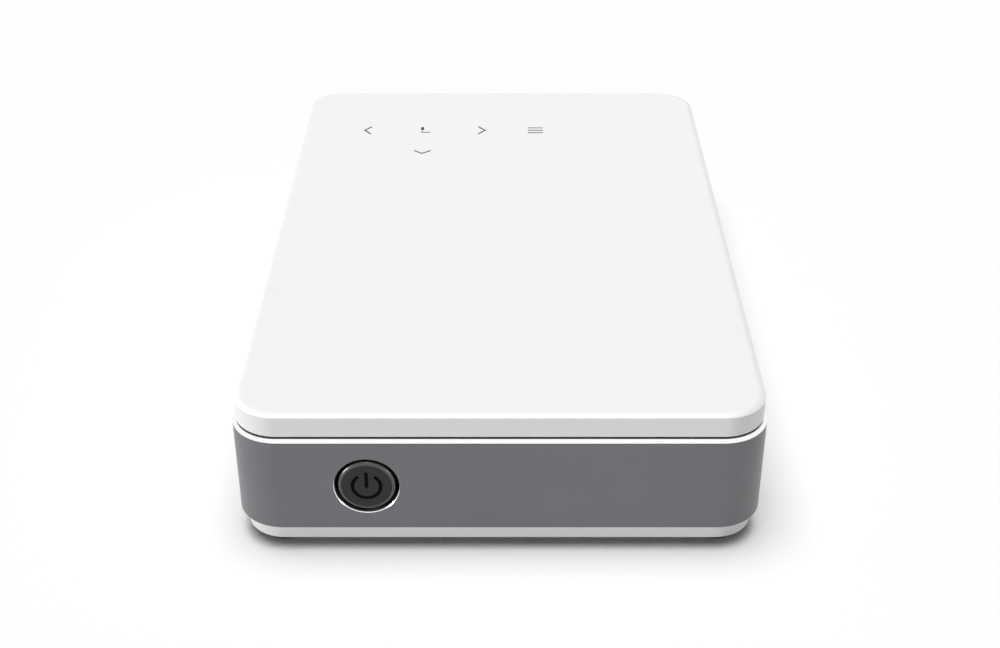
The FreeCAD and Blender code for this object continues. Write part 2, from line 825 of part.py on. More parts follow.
def make_lamp_blocks():
    """Copper blocks behind the two lamps, grooved on top for the heat pipes."""
    low = z_engine + led_block_lift
    half = led_block_width / 2
    near = engine_y - led_block_thickness
    right = engine_right + led_block_thickness
    first = block(prism_x - half, prism_x + half, near, engine_y, low, z_pipe)
    second = block(engine_right, right, led_b_y - half, led_b_y + half, low, z_pipe)
    grooves = [rod_y(pipe_radius, -FAR, FAR, x, z_pipe) for x in (prism_x, pipe_b_x)]
    return Part.makeCompound([first.cut(grooves[0]), second.cut(grooves[1])])


def make_lamps():
    """Two flat LED emitters in the engine's windows."""
    half = led_side / 2
    low = z_axis - half
    high = z_axis + half
    first = block(prism_x - half, prism_x + half, engine_y, engine_y + led_thickness, low, high)
    second = block(engine_right - led_thickness, engine_right, led_b_y - half, led_b_y + half, low, high)
    return Part.makeCompound([first, second])


def make_collimators():
    """Two round condenser lenses over the engine's lamp windows."""
    near = engine_y + engine_wall
    right = engine_right - engine_wall
    first = rod_y(collimator_radius, near, near + collimator_thickness, prism_x, z_axis)
    second = rod_x(collimator_radius, right - collimator_thickness, right, led_b_y, z_axis)
    return Part.makeCompound([first, second])


def make_dichroic_plate():
    """Thin colour-splitting plate at 45 degrees where the two lamp beams meet."""
    half = dichroic_length / 2
    thin = dichroic_thickness / 2
    plate = block(-half, half, -thin, thin, z_engine + engine_wall, z_axis + half)
    plate.rotate(Vector(0, 0, 0), Vector(0, 0, 1), 45)
    plate.translate(Vector(prism_x, led_b_y, 0))
    return plate


# ---- Cooling --------------------------------------------------------------------------------
def make_fan_frame(centre_y):
    """Square frame with a round duct, and a hub on four struts that holds the bearing."""
    half = fan_side / 2
    x1 = fan_x + fan_depth
    frame = block(fan_x, x1, centre_y - half, centre_y + half, fan_z - half, fan_z + half)
    frame = frame.cut(rod_x(fan_radius, fan_x, x1, centre_y, fan_z))
    web = rod_x(fan_hub_radius, fan_x, fan_x + fan_web, centre_y, fan_z)
    struts = []
    for index in range(fan_struts):
        reach = fan_radius + fan_bore_wall / 2
        wide = fan_strut / 2
        strut = block(fan_x, fan_x + fan_web, centre_y - wide, centre_y + wide, fan_z, fan_z + reach)
        strut.rotate(Vector(0, centre_y, fan_z), Vector(1, 0, 0), 45 + 360 / fan_struts * index)
        struts.append(strut)
    bore = rod_x(fan_shaft_radius + running_fit, fan_x, fan_x + fan_web, centre_y, fan_z)
    return frame.fuse([web] + struts).cut(bore).removeSplitter()


def make_blade():
    """One pitched blade with a bend in its middle, standing up along Z from inside the hub."""
    half = fan_blade_chord / 2
    pitch = math.radians(fan_blade_pitch)
    along = Vector(math.sin(pitch), math.cos(pitch), 0)
    across = Vector(-along.y, along.x, 0)
    root = Vector(0, 0, fan_hub_radius / 2)
    lower = [root - along * half, root + across * fan_blade_camber, root + along * half]
    upper = [point + across * fan_blade_thickness for point in lower]
    outline = lower + upper[::-1]
    tip = fan_radius - fan_tip_gap
    sweep = max(abs(point.y) for point in outline)
    height = math.sqrt(tip * tip - sweep * sweep) - root.z
    return Part.Face(Part.makePolygon(outline + outline[:1])).extrude(Vector(0, 0, height))


def make_fan_rotor(centre_y):
    """Hub with its shaft and a ring of pitched, bent blades."""
    x0 = fan_x + fan_web + fan_axial_gap
    x1 = fan_x + fan_depth - fan_axial_gap
    hub = rod_x(fan_hub_radius, x0, x1, 0, 0)
    shaft = rod_x(fan_shaft_radius, fan_x, x1, 0, 0)
    blade = make_blade()
    blade.translate(Vector((x0 + x1) / 2, 0, 0))
    blades = []
    for index in range(fan_blades):
        copy = blade.copy()
        copy.rotate(Vector(0, 0, 0), Vector(1, 0, 0), 360 / fan_blades * index)
        blades.append(copy)
    rotor = hub.fuse([shaft] + blades).removeSplitter()
    rotor.translate(Vector(0, centre_y, fan_z))
    return rotor


def make_heat_sink():
    """Finned block behind the fans: plate on top, grooved for the pipes, fins hanging down."""
    plate = block(sink_x, sink_x + sink_depth, sink_near, fan_first_edge, z_pipe - sink_plate, z_pipe)
    count = int((fan_first_edge - sink_near - fin_thickness) / fin_pitch) + 1
    fins = []
    for index in range(count):
        y = sink_near + index * fin_pitch
        fins.append(block(sink_x, sink_x + sink_depth, y, y + fin_thickness, sink_z, z_pipe - sink_plate))
    grooves = [rod_y(pipe_radius, -FAR, FAR, x, z_pipe) for x in (prism_x, pipe_b_x)]
    return plate.fuse(fins).cut(grooves).removeSplitter()


def make_heat_pipes():
    """Two copper pipes from the lamp blocks to the heat sink."""
    first = rod_y(pipe_radius, sink_near, engine_y - pipe_end_gap, prism_x, z_pipe)
    second = rod_y(pipe_radius, sink_near, led_b_y + led_block_width / 2 - pipe_end_gap, pipe_b_x, z_pipe)
    return Part.makeCompound([first, second])


def make_intake_filter():
    """Foam strip behind the intake slots."""
    low = z_band + lip_height + filter_edge_gap
    high = z_ledge - ledge_thickness - filter_edge_gap
    y0 = intake_start - filter_margin
    return block(inner_x - filter_thickness, inner_x, y0, intake_end + filter_margin, low, high)


# ---- Main board and sockets -----------------------------------------------------------------
def make_main_board():
    """Main circuit board on its four standoffs."""
    board = block(board_left, board_right, -board_end, board_end, main_board_z, z_board)
    holes = [screw_prism(small_screw_radius + hole_gap, main_board_z, z_board, x, y) for x, y in board_spots()]
    return board.cut(holes)


def shell_socket(y, width, height, depth, corner):
    """Metal socket with an open mouth towards +X and a contact tongue inside."""
    half = width / 2
    low = z_board
    high = z_board + height
    back = port_face - depth

    def outline(inset):
        side = half - inset
        top = high - inset
        bevel = low + corner + inset / 2
        flat = low + inset
        right = [Vector(0, y + side, top), Vector(0, y + side, bevel), Vector(0, y + side - corner, flat)]
        left = [Vector(0, y - side + corner, flat), Vector(0, y - side, bevel), Vector(0, y - side, top)]
        return Part.Face(Part.makePolygon(right + left + right[:1]))

    shell = outline(0).extrude(Vector(depth, 0, 0))
    mouth = outline(socket_shell).extrude(Vector(depth - socket_back, 0, 0))
    shell.translate(Vector(back, 0, 0))
    mouth.translate(Vector(back + socket_back, 0, 0))
    middle = (low + high) / 2
    side = half - socket_shell - corner - tongue_side_gap
    tip = port_face - socket_back
    thin = tongue_thickness / 2
    tongue = block(back, tip, y - side, y + side, middle - thin, middle + thin)
    return shell.cut(mouth).fuse(tongue).removeSplitter()


def make_video_socket():
    """Video socket with chamfered lower corners."""
    return shell_socket(video_y, video_width, video_height, video_depth, video_corner)


def make_data_socket():
    """Data socket with a square mouth."""
    return shell_socket(data_y, data_width, data_height, data_depth, socket_shell)


def round_socket(y, size, nose, bore, bore_depth):
    """Moulded block of a depth, width and height, with a round nose and bore towards +X."""
    depth, width, height = size
    z = z_board + height / 2
    back = inner_x - port_body_gap - depth
    body = block(back, back + depth, y - width / 2, y + width / 2, z_board, z_board + height)
    body = body.fuse(rod_x(nose, back, port_face, y, z))
    return body.cut(rod_x(bore, port_face - bore_depth, port_face, y, z))


def make_dc_inlet():
    """Power inlet with its centre pin."""
    size = (dc_depth, dc_width, dc_height)
    socket = round_socket(dc_y, size, dc_nose_radius, dc_bore_radius, dc_bore_depth)
    root = port_face - dc_bore_depth
    pin = rod_x(dc_pin_radius, root, port_face - socket_back, dc_y, z_board + dc_height / 2)
    return socket.fuse(pin).removeSplitter()


def make_audio_jack():
    """Small headphone socket."""
    size = (audio_depth, audio_width, audio_height)
    jack = round_socket(audio_y, size, audio_nose_radius, audio_bore_radius, audio_bore_depth)
    return jack.removeSplitter()


def make_board_chips():
    """Square chips on the main board."""
    high = z_board + chip_height
    return Part.makeCompound([centred_block(x, y, side, side, z_board, high) for x, y, side in chip_spots])


def make_shield_can():
    """Sheet-metal can over the video processor."""
    top = z_board + shield_height
    inner = shield_side - shield_wall * 2
    can = centred_block(shield_x, shield_y, shield_side, shield_side, z_board, top)
    return can.cut(centred_block(shield_x, shield_y, inner, inner, z_board, top - shield_wall))


def make_capacitors():
    """Row of can capacitors by the power inlet."""
    cans = []
    for index in range(capacitors):
        y = capacitor_y + index * capacitor_pitch
        cans.append(rod_z(capacitor_radius, z_board, z_board + capacitor_height, capacitor_x, y))
    return Part.makeCompound(cans)


# ---- Touch panel, ribbons, speaker, receiver, lock ------------------------------------------
def make_touch_board():
    """Touch-sensing board bonded under the cover."""
    half = touch_length / 2
    return block(touch_left, touch_right, touch_y - half, touch_y + half, z_ceiling - touch_thickness, z_ceiling)


def bent_strip(points, y):
    """Flat ribbon folded through points in an XZ plane, as thick as a ribbon cable."""
    upper = []
    for index, (x, z) in enumerate(points):
        before = points[max(index - 1, 0)]
        after = points[min(index + 1, len(points) - 1)]
        run = Vector(after[0] - before[0], 0, after[1] - before[1])
        run.normalize()
        upper.append(Vector(x + run.z * ribbon_thickness, y, z - run.x * ribbon_thickness))
    lower = [Vector(x, y, z) for x, z in points]
    outline = lower + upper[::-1]
    return Part.Face(Part.makePolygon(outline + outline[:1])).extrude(Vector(0, ribbon_width, 0))


def make_touch_ribbon():
    """Ribbon from the touch board down to the main board."""
    top = z_ceiling - touch_thickness
    foot = z_board + ribbon_thickness
    x = board_left + touch_ribbon_to_board
    return bent_strip([(x - ribbon_width, top), (x, top), (x, foot), (x + ribbon_plug, foot)], touch_y)


def make_mirror_ribbon():
    """Ribbon from the mirror board over to the main board."""
    start = engine_right + board_thickness
    end = board_left + ribbon_plug
    level = z_engine_top - mirror_ribbon_drop
    foot = z_board + ribbon_thickness
    return bent_strip([(start, level), (end, level), (end, foot), (end + ribbon_plug, foot)], lens_y)


def make_speaker():
    """Flat speaker over the slots in the base: a square basket whose diaphragm faces down."""
    top = z_floor + speaker_height
    basket = centred_block(speaker_x, speaker_y, speaker_side, speaker_side, z_floor, top)
    wide = speaker_side - speaker_rim * 2
    return basket.cut(centred_block(speaker_x, speaker_y, wide, wide, z_floor, z_floor + diaphragm_depth))


def make_receiver_window():
    """Dark oval window flush with the wall, with a flange behind it."""
    grow = window_flange * 2
    back = -inner_x + window_flange_thickness
    plug = level_slot_x(-half_width, -inner_x, window_y, window_width, window_height)
    flange = level_slot_x(-inner_x, back, window_y, window_width + grow, window_height + grow)
    return plug.fuse(flange).removeSplitter()


def make_receiver():
    """Remote-control receiver behind its window."""
    x0 = -inner_x + window_flange_thickness
    half = receiver_side / 2
    return block(x0, x0 + receiver_depth, window_y - half, window_y + half, z_axis - half, z_axis + half)


def make_lock_plate():
    """Steel plate behind the security slot."""
    half = lock_width / 2 + lock_plate_margin
    tall = lock_height / 2 + lock_plate_margin
    y0 = inner_y - lock_plate_thickness
    plate = block(lock_x - half, lock_x + half, y0, inner_y, z_axis - tall, z_axis + tall)
    return plate.cut(level_slot_y(y0, inner_y, lock_x, lock_width, lock_height))


# ---- Elevator foot --------------------------------------------------------------------------
def make_tilt_wheel():
    """Nut wheel in the base's well, with a neck through the well's roof."""
    wheel = rod_z(tilt_wheel_radius, z_tilt_wheel, z_tilt_wheel + tilt_wheel_thickness, tilt_x, tilt_y)
    neck = rod_z(tilt_neck_radius, z_tilt_wheel, z_tilt_neck, tilt_x, tilt_y)
    bore = rod_z(tilt_stem_radius + running_fit, z_tilt_wheel, z_tilt_neck, tilt_x, tilt_y)
    return wheel.fuse(neck).cut(bore).removeSplitter()


def make_tilt_clip():
    """Retaining ring on the neck, above the roof."""
    low = z_tilt_roof + running_fit
    ring = rod_z(tilt_clip_radius, low, low + tilt_clip_thickness, tilt_x, tilt_y)
    return ring.cut(rod_z(tilt_neck_radius, low, low + tilt_clip_thickness, tilt_x, tilt_y))


def flatted_stem(gap, z0, z1):
    """Round stem with two flats, grown by gap."""
    stem = rod_z(tilt_stem_radius + gap, z0, z1, tilt_x, tilt_y)
    span = tilt_flat + gap
    reach = tilt_stem_radius + gap
    return stem.common(block(tilt_x - reach, tilt_x + reach, tilt_y - span, tilt_y + span, z0, z1))


def make_tilt_guide():
    """Square cup over the neck whose flatted hole keeps the stem from turning."""
    inner = (tilt_clip_radius + tilt_guide_gap) * 2
    outer = inner + tilt_guide_wall * 2
    top = z_tilt_plate + tilt_guide_wall
    cup = centred_block(tilt_x, tilt_y, outer, outer, z_tilt_roof, top)
    cup = cup.cut(centred_block(tilt_x, tilt_y, inner, inner, z_tilt_roof, z_tilt_plate))
    return cup.cut(flatted_stem(tilt_flat_gap, z_tilt_plate, top))


def make_tilt_stem():
    """Flatted stem that rises and falls through the wheel."""
    low = tilt_pad_lift + tilt_pad_thickness
    top = z_tilt_plate + tilt_guide_wall + tilt_travel
    return flatted_stem(0, low, top)


def make_tilt_pad():
    """Rubber pad under the stem."""
    return rod_z(tilt_pad_radius, tilt_pad_lift, tilt_pad_lift + tilt_pad_thickness, tilt_x, tilt_y)


# ---- Export ---------------------------------------------------------------------------------
def all_nodes():
    """Every sub-part by its node name."""
    return {
        "top_cover": make_top_cover(),
        "band_frame": make_band_frame(),
        "base_pan": make_base_pan(),
        "rubber_feet": make_rubber_feet(),
        "housing_screws": make_housing_screws(),
        "small_screws": make_small_screws(),
        "tripod_insert": make_tripod_insert(),
        "power_button": make_power_button(),
        "switch_plunger": make_switch_plunger(),
        "tact_switch": make_tact_switch(),
        "button_guide": make_button_guide(),
        "button_board": make_button_board(),
        "lens_bezel": make_lens_bezel(),
        "focus_ring": make_focus_ring(),
        "lens_barrel": make_lens_barrel(),
        "front_lens": make_front_lens(),
        "rear_lens": make_rear_lens(),
        "engine_housing": make_engine_housing(),
        "engine_lid": make_engine_lid(),
        "prism": make_prism(),
        "mirror_chip": make_mirror_chip(),
        "mirror_board": make_mirror_board(),
        "lamp_blocks": make_lamp_blocks(),
        "lamps": make_lamps(),
        "collimators": make_collimators(),
        "dichroic_plate": make_dichroic_plate(),
        "fan_frame_a": make_fan_frame(fan_centres[0]),
        "fan_frame_b": make_fan_frame(fan_centres[1]),
        "fan_rotor_a": make_fan_rotor(fan_centres[0]),
        "fan_rotor_b": make_fan_rotor(fan_centres[1]),
        "heat_sink": make_heat_sink(),
        "heat_pipes": make_heat_pipes(),
        "intake_filter": make_intake_filter(),
        "main_board": make_main_board(),
        "dc_inlet": make_dc_inlet(),
        "video_socket": make_video_socket(),
        "data_socket": make_data_socket(),
        "audio_jack": make_audio_jack(),
        "board_chips": make_board_chips(),
        "shield_can": make_shield_can(),
        "capacitors": make_capacitors(),
        "touch_board": make_touch_board(),
        "touch_ribbon": make_touch_ribbon(),
        "mirror_ribbon": make_mirror_ribbon(),
        "speaker": make_speaker(),
        "receiver_window": make_receiver_window(),
        "receiver": make_receiver(),
        "lock_plate": make_lock_plate(),
        "tilt_wheel": make_tilt_wheel(),
        "tilt_clip": make_tilt_clip(),
        "tilt_guide": make_tilt_guide(),
        "tilt_stem": make_tilt_stem(),
        "tilt_pad": make_tilt_pad(),
    }


os.makedirs("parts", exist_ok=True)
for name, shape in all_nodes().items():
    shape.exportStep(f"parts/{name}.step")
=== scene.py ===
import json
import math

import bmesh
import bpy
import numpy as np
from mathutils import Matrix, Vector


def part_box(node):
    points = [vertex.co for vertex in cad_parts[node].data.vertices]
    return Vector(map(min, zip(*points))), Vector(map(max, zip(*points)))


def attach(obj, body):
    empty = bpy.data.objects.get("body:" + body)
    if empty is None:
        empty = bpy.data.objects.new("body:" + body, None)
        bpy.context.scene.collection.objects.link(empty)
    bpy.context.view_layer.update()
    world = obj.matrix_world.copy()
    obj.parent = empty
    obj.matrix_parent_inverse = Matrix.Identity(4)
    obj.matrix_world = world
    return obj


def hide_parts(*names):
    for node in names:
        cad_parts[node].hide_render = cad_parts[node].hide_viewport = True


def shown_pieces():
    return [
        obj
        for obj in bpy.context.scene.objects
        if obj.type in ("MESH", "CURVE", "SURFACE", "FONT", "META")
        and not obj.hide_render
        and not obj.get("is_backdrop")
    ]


# A pocket LED projector: white top shell and base tray around an anodised metal band.
# Metres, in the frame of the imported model. The pieces below take their places from its boxes.

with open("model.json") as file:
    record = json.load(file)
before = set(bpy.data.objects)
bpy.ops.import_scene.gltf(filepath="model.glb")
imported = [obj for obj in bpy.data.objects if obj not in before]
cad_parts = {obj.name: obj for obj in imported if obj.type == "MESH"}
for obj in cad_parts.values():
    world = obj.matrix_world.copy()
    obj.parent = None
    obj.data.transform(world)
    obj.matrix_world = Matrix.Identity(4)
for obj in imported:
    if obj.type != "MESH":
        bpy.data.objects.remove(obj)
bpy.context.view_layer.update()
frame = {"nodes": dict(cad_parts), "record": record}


def corners_of(node):
    """Low and high corner of a node's box."""
    return [np.array(corner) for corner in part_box(node)]


def middle(node):
    """Centre of a node's box."""
    low, high = corners_of(node)
    return (low + high) / 2


def half_width(node, along):
    """Half the size of a node's box along x, y or z (0, 1 or 2): a turned piece's radius."""
    low, high = corners_of(node)
    return (high[along] - low[along]) / 2


# ---- Sizes that several pieces share ----
MM = 0.001
corner_steps = 28
side_steps = 14
round_steps = 96
crease_angle = math.radians(32)
edge_break = 0.12 * MM
running_fit = 0.05 * MM
round_off = 0.001 * MM
cap_inset = 1.2 * MM
overshoot = 1.0 * MM

corner_radius = 9.4 * MM
cover_wall = 2.6 * MM
cover_plate = 1.8 * MM
cover_skirt = 4.87 * MM
cover_fall = 0.56 * MM
cover_turn = 44.0
tongue_depth = 1.6 * MM
lip_height = 2.0 * MM
lip_inset = 2.1 * MM
base_wall = 1.8 * MM
base_floor = 1.6 * MM
base_round = 0.35 * MM
band_wall = 2.0 * MM
band_chamfer = 0.59 * MM
ledge_width = 1.6 * MM
ledge_thickness = 1.0 * MM

band_low, band_high = corners_of("band_frame")
cover_low, cover_high = corners_of("top_cover")
base_low, base_high = corners_of("base_pan")
button_low, button_high = corners_of("power_button")
bezel_low, bezel_high = corners_of("lens_bezel")

# The lens, button, receiver, lock and vents are centred on z_axis, the height where the cover's posts end.
half_x, half_y, z_band_top = band_high
z_band = band_low[2]
z_top = cover_high[2]
z_base = base_low[2]
z_axis = cover_low[2]
cover_inset = half_x - cover_high[0]
base_inset = half_x - base_high[0]
z_cover = z_top - cover_skirt
z_ceiling = z_top - cover_plate
z_ledge = z_band_top - tongue_depth
z_floor = z_base + base_floor
lens_y = (bezel_low[1] + bezel_high[1]) / 2
lens_axis = (0, lens_y, z_axis)
button_axis = ((button_low[0] + button_high[0]) / 2, 0, z_axis)


# ---- Meshes ----
class Form:
    """A mesh in the making: vertices, faces and each face's material number."""

    def __init__(self, points, faces, marks):
        self.points = np.asarray(points, dtype=float).reshape(-1, 3)
        self.faces = faces
        self.marks = marks

    def __add__(self, other):
        shift = len(self.points)
        moved = [[index + shift for index in face] for face in other.faces]
        return Form(np.vstack([self.points, other.points]), self.faces + moved, self.marks + other.marks)


def together(forms):
    """Forms added up in their order."""
    return sum(forms[1:], forms[0])


def grid_form(points, loop=False, finish=0):
    """Faces over a grid of rows x columns x 3 whose columns close on themselves. The first and last row
    are capped, or joined to each other where loop is set."""
    rows, columns = points.shape[:2]
    row = np.arange(rows if loop else rows - 1)
    a, b = np.meshgrid(row, np.arange(columns), indexing="ij")
    below = a * columns
    above = (a + 1) % rows * columns
    after = (b + 1) % columns
    faces = np.stack([below + b, below + after, above + after, above + b], axis=-1).reshape(-1, 4).tolist()
    marks = np.repeat(np.broadcast_to(finish, len(row)), columns).tolist()
    if not loop:
        faces += [list(range(columns - 1, -1, -1)), list(range((rows - 1) * columns, rows * columns))]
        marks += [marks[0], marks[0]]
    return Form(points, faces, marks)


def unit(angle):
    """(cos, sin) of each angle."""
    return np.stack([np.cos(angle), np.sin(angle)], axis=-1)


def directions(vectors):
    """Vectors divided by their lengths."""
    return vectors / np.linalg.norm(vectors, axis=1)[:, None]


def spaced(count, pitch):
    """Places at an even pitch, centred on 0."""
    return (np.arange(count) - (count - 1) / 2) * pitch


QUADRANTS = np.array([(1, 1), (-1, 1), (-1, -1), (1, -1)])


def body_outline():
    """Plan of the body, anticlockwise, and its outward normals: quarter circles joined by straight runs."""
    points = []
    normals = []
    along = np.linspace(0, 1, side_steps + 1)[1:-1, None]
    reach = np.array([half_x, half_y]) - corner_radius
    for turn in range(4):
        normal = unit(np.linspace(0, math.pi / 2, corner_steps + 1) + turn * math.pi / 2)
        bend = QUADRANTS[turn] * reach + corner_radius * normal
        end = QUADRANTS[(turn + 1) % 4] * reach + corner_radius * normal[-1]
        points += [bend, bend[-1] + (end - bend[-1]) * along]
        normals += [normal, np.repeat(normal[-1:], side_steps - 1, axis=0)]
    return np.vstack(points), np.vstack(normals)


PLAN, PLAN_NORMALS = body_outline()


def carried(profile, loop=False, finish=0):
    """(inset, height) rows carried round the plan: plan point - inset x normal, at that height."""
    profile = np.array(profile)
    flat = PLAN[None] - profile[:, :1, None] * PLAN_NORMALS[None]
    height = np.broadcast_to(profile[:, 1, None, None], flat.shape[:2] + (1,))
    return grid_form(np.concatenate([flat, height], axis=2), loop, finish)


AXES = {"x": ((0, 1, 0), (0, 0, 1), (1, 0, 0)), "y": ((0, 0, 1), (1, 0, 0), (0, 1, 0)), "z": np.eye(3)}


def placed(across, along, axis):
    """Points from (u, v) across an axis and a place along it."""
    u, v, w = [np.array(direction, dtype=float) for direction in AXES[axis]]
    return across[..., :1] * u + across[..., 1:] * v + along[..., None] * w


def across_of(axis, centre):
    """The (u, v) place of a point, across an axis."""
    return np.array([np.dot(centre, AXES[axis][0]), np.dot(centre, AXES[axis][1])])


def revolved(profile, axis, centre, loop=False, finish=0, steps=round_steps, ripple=None):
    """(radius, place) rows turned about an axis. ripple(angle, radius, place) gives both anew."""
    profile = np.array(profile)
    angle = np.linspace(0, 2 * math.pi, steps, endpoint=False)[None]
    radius = np.broadcast_to(profile[:, :1], (len(profile), steps))
    place = np.broadcast_to(profile[:, 1:], radius.shape)
    if ripple is not None:
        radius, place = ripple(angle, radius, place)
    across = radius[..., None] * unit(angle) + across_of(axis, centre)
    return grid_form(placed(across, place, axis), loop, finish)


def extruded(outline, axis, low, high, centre, finish=0):
    """An anticlockwise (u, v) outline, carried along an axis from low to high and closed."""
    return layered(outline, [(0, low), (0, high)], axis, centre, finish)


def drawn_in(outline, inset):
    """Closed anticlockwise outline moved inwards: each point goes by the inset along its edges' mitre."""
    runs = directions(np.roll(outline, -1, axis=0) - outline)
    after = np.stack([runs[:, 1], -runs[:, 0]], axis=1)
    before = np.roll(after, 1, axis=0)
    return outline - inset * (before + after) / (1 + np.sum(before * after, axis=1))[:, None]


def layered(outline, profile, axis, centre, finish=0):
    """(inset, place) rows: the outline drawn in by each inset, at its place along an axis."""
    sections = [drawn_in(outline, inset) if inset else outline for inset, _ in profile]
    across = np.stack(sections) + across_of(axis, centre)
    along = np.broadcast_to(np.array([place for _, place in profile])[:, None], across.shape[:2])
    return grid_form(placed(across, along, axis), finish=finish)


def softened(corners, radius, steps=5):
    """Outline whose corners are quadratic curves that start and end a radius away from them."""
    corners = np.array(corners, dtype=float)
    start = corners + radius * directions(np.roll(corners, 1, axis=0) - corners)
    end = corners + radius * directions(np.roll(corners, -1, axis=0) - corners)
    t = np.linspace(0, 1, steps + 1)[None, :, None]
    curve = (1 - t) ** 2 * start[:, None] + 2 * t * (1 - t) * corners[:, None] + t ** 2 * end[:, None]
    return curve.reshape(-1, 2)


def evenly(outline, count):
    """Points at equal steps along a closed outline."""
    closed = np.vstack([outline, outline[:1]])
    run = np.concatenate([[0], np.cumsum(np.linalg.norm(np.diff(closed, axis=0), axis=1))])
    at = np.linspace(0, run[-1], count, endpoint=False)
    return np.stack([np.interp(at, run, closed[:, 0]), np.interp(at, run, closed[:, 1])], axis=1)


def arc(u, v, radius, start, end, steps=6):
    """Rows on a circle about (u, v), from one angle to another in degrees."""
    angle = np.radians(np.linspace(start, end, steps + 1))
    return list(zip(u + radius * np.cos(angle), v + radius * np.sin(angle)))


def circle(radius, steps=round_steps):
    """Circle as (u, v) points."""
    return radius * unit(np.linspace(0, 2 * math.pi, steps, endpoint=False))


def rounded_rectangle(width, height, radius, steps=10):
    """Rectangle with round corners as (u, v) points: four quarter circles."""
    reach = np.array([width, height]) / 2 - radius
    quarter = np.linspace(0, math.pi / 2, steps + 1)
    return np.vstack([signs * reach + radius * unit(quarter + turn * math.pi / 2)
                      for turn, signs in enumerate(QUADRANTS)])


def pill(width, height, steps=10):
    """Rectangle whose short ends are half circles, with width or height the shorter side."""
    return rounded_rectangle(width, height, min(width, height) / 2 - round_off, steps)


def box_form(low, high, finish=0):
    """Plain box between two corners, for hidden posts and small contacts."""
    low = np.array(low, dtype=float)
    high = np.array(high, dtype=float)
    return extruded((high - low)[:2] / 2 * QUADRANTS, "z", low[2], high[2], (low + high) / 2, finish)


def raw_mesh(name, form):
    """Mesh of a form with its doubled points merged."""
    mesh = bpy.data.meshes.new(name)
    mesh.from_pydata(form.points.tolist(), [], form.faces)
    mesh.polygons.foreach_set("material_index", form.marks)
    work = bmesh.new()
    work.from_mesh(mesh)
    bmesh.ops.remove_doubles(work, verts=work.verts, dist=1e-7)
    work.to_mesh(mesh)
    work.free()
    return mesh


def temporary(form, materials):
    """Object that only a Boolean uses."""
    thing = bpy.data.objects.new("cutter", raw_mesh("cutter", form))
    for material in materials:
        thing.data.materials.append(material)
    bpy.context.scene.collection.objects.link(thing)
    return thing


def combined(name, form, materials, joins, cuts):
    """Mesh of a form with other forms joined to it and cut from it."""
    main = temporary(form, materials)
    helpers = []
    for operation, others in (("UNION", joins), ("DIFFERENCE", cuts)):
        for other in others:
            helper = temporary(other, materials)
            helpers.append(helper)
            step = main.modifiers.new(operation, "BOOLEAN")
            step.operation = operation
            step.solver = "EXACT"
            step.material_mode = "INDEX"
            step.object = helper
    bpy.context.view_layer.update()
    shaped = main.evaluated_get(bpy.context.evaluated_depsgraph_get())
    mesh = bpy.data.meshes.new_from_object(shaped)
    mesh.name = name
    for thing in [main] + helpers:
        data = thing.data
        bpy.data.objects.remove(thing)
        bpy.data.meshes.remove(data)
    return mesh


def piece(name, form, body, slot, stands_for=(), others=(), joins=(), cuts=()):
    """A finished piece that rides on a body: smooth, with creases where faces meet at a sharp angle.

    Material 0 is the finish of its slot, and others are the ones after it. Joins and cuts are forms.
    """
    materials = [FINISH[slot], *others]
    mesh = combined(name, form, materials, joins, cuts) if joins or cuts else raw_mesh(name, form)
    if not mesh.materials:
        for material in materials:
            mesh.materials.append(material)
    mesh.polygons.foreach_set("use_smooth", [True] * len(mesh.polygons))
    mesh.set_sharp_from_angle(angle=crease_angle)
    thing = bpy.data.objects.new(name, mesh)
    bpy.context.scene.collection.objects.link(thing)
    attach(thing, body)
    if stands_for:
        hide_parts(*stands_for)
    return thing


# ---- Materials ----
class Value:
    """A shader output that does arithmetic: each operator on it adds a Math node."""

    def __init__(self, nodes, socket):
        self.nodes = nodes
        self.socket = socket

    def __add__(self, other):
        return self.nodes.add("ShaderNodeMath", {"operation": "ADD"}, {0: self, 1: other})

    def __mul__(self, other):
        return self.nodes.add("ShaderNodeMath", {"operation": "MULTIPLY"}, {0: self, 1: other})

    __radd__ = __add__
    __rmul__ = __mul__


class Nodes:
    """A node tree and the method that adds any node to it."""

    def __init__(self, tree):
        self.tree = tree

    def put(self, socket, value):
        """Links or sets one socket."""
        if isinstance(value, Value):
            self.tree.links.new(value.socket, socket)
        else:
            socket.default_value = value

    def add(self, kind, settings, sockets, out=0):
        """Adds a node: its settings first, with a ramp's two stops among them, then its sockets."""
        node = self.tree.nodes.new(kind)
        for title, value in settings.items():
            if title == "stops":
                for stop, (place, colour) in zip(node.color_ramp.elements, value):
                    stop.position = place
                    stop.color = colour
            else:
                setattr(node, title, value)
        for key, value in sockets.items():
            self.put(node.inputs[key], value)
        return Value(self, node.outputs[out])

    def looks(self):
        """At least 1 for what the camera, a mirror or glass sees, and 0 for light that surfaces scatter."""
        rays = ("Is Camera Ray", "Is Glossy Ray", "Is Transmission Ray")
        camera, mirror, glass = [self.add("ShaderNodeLightPath", {}, {}, ray) for ray in rays]
        return camera + mirror + glass


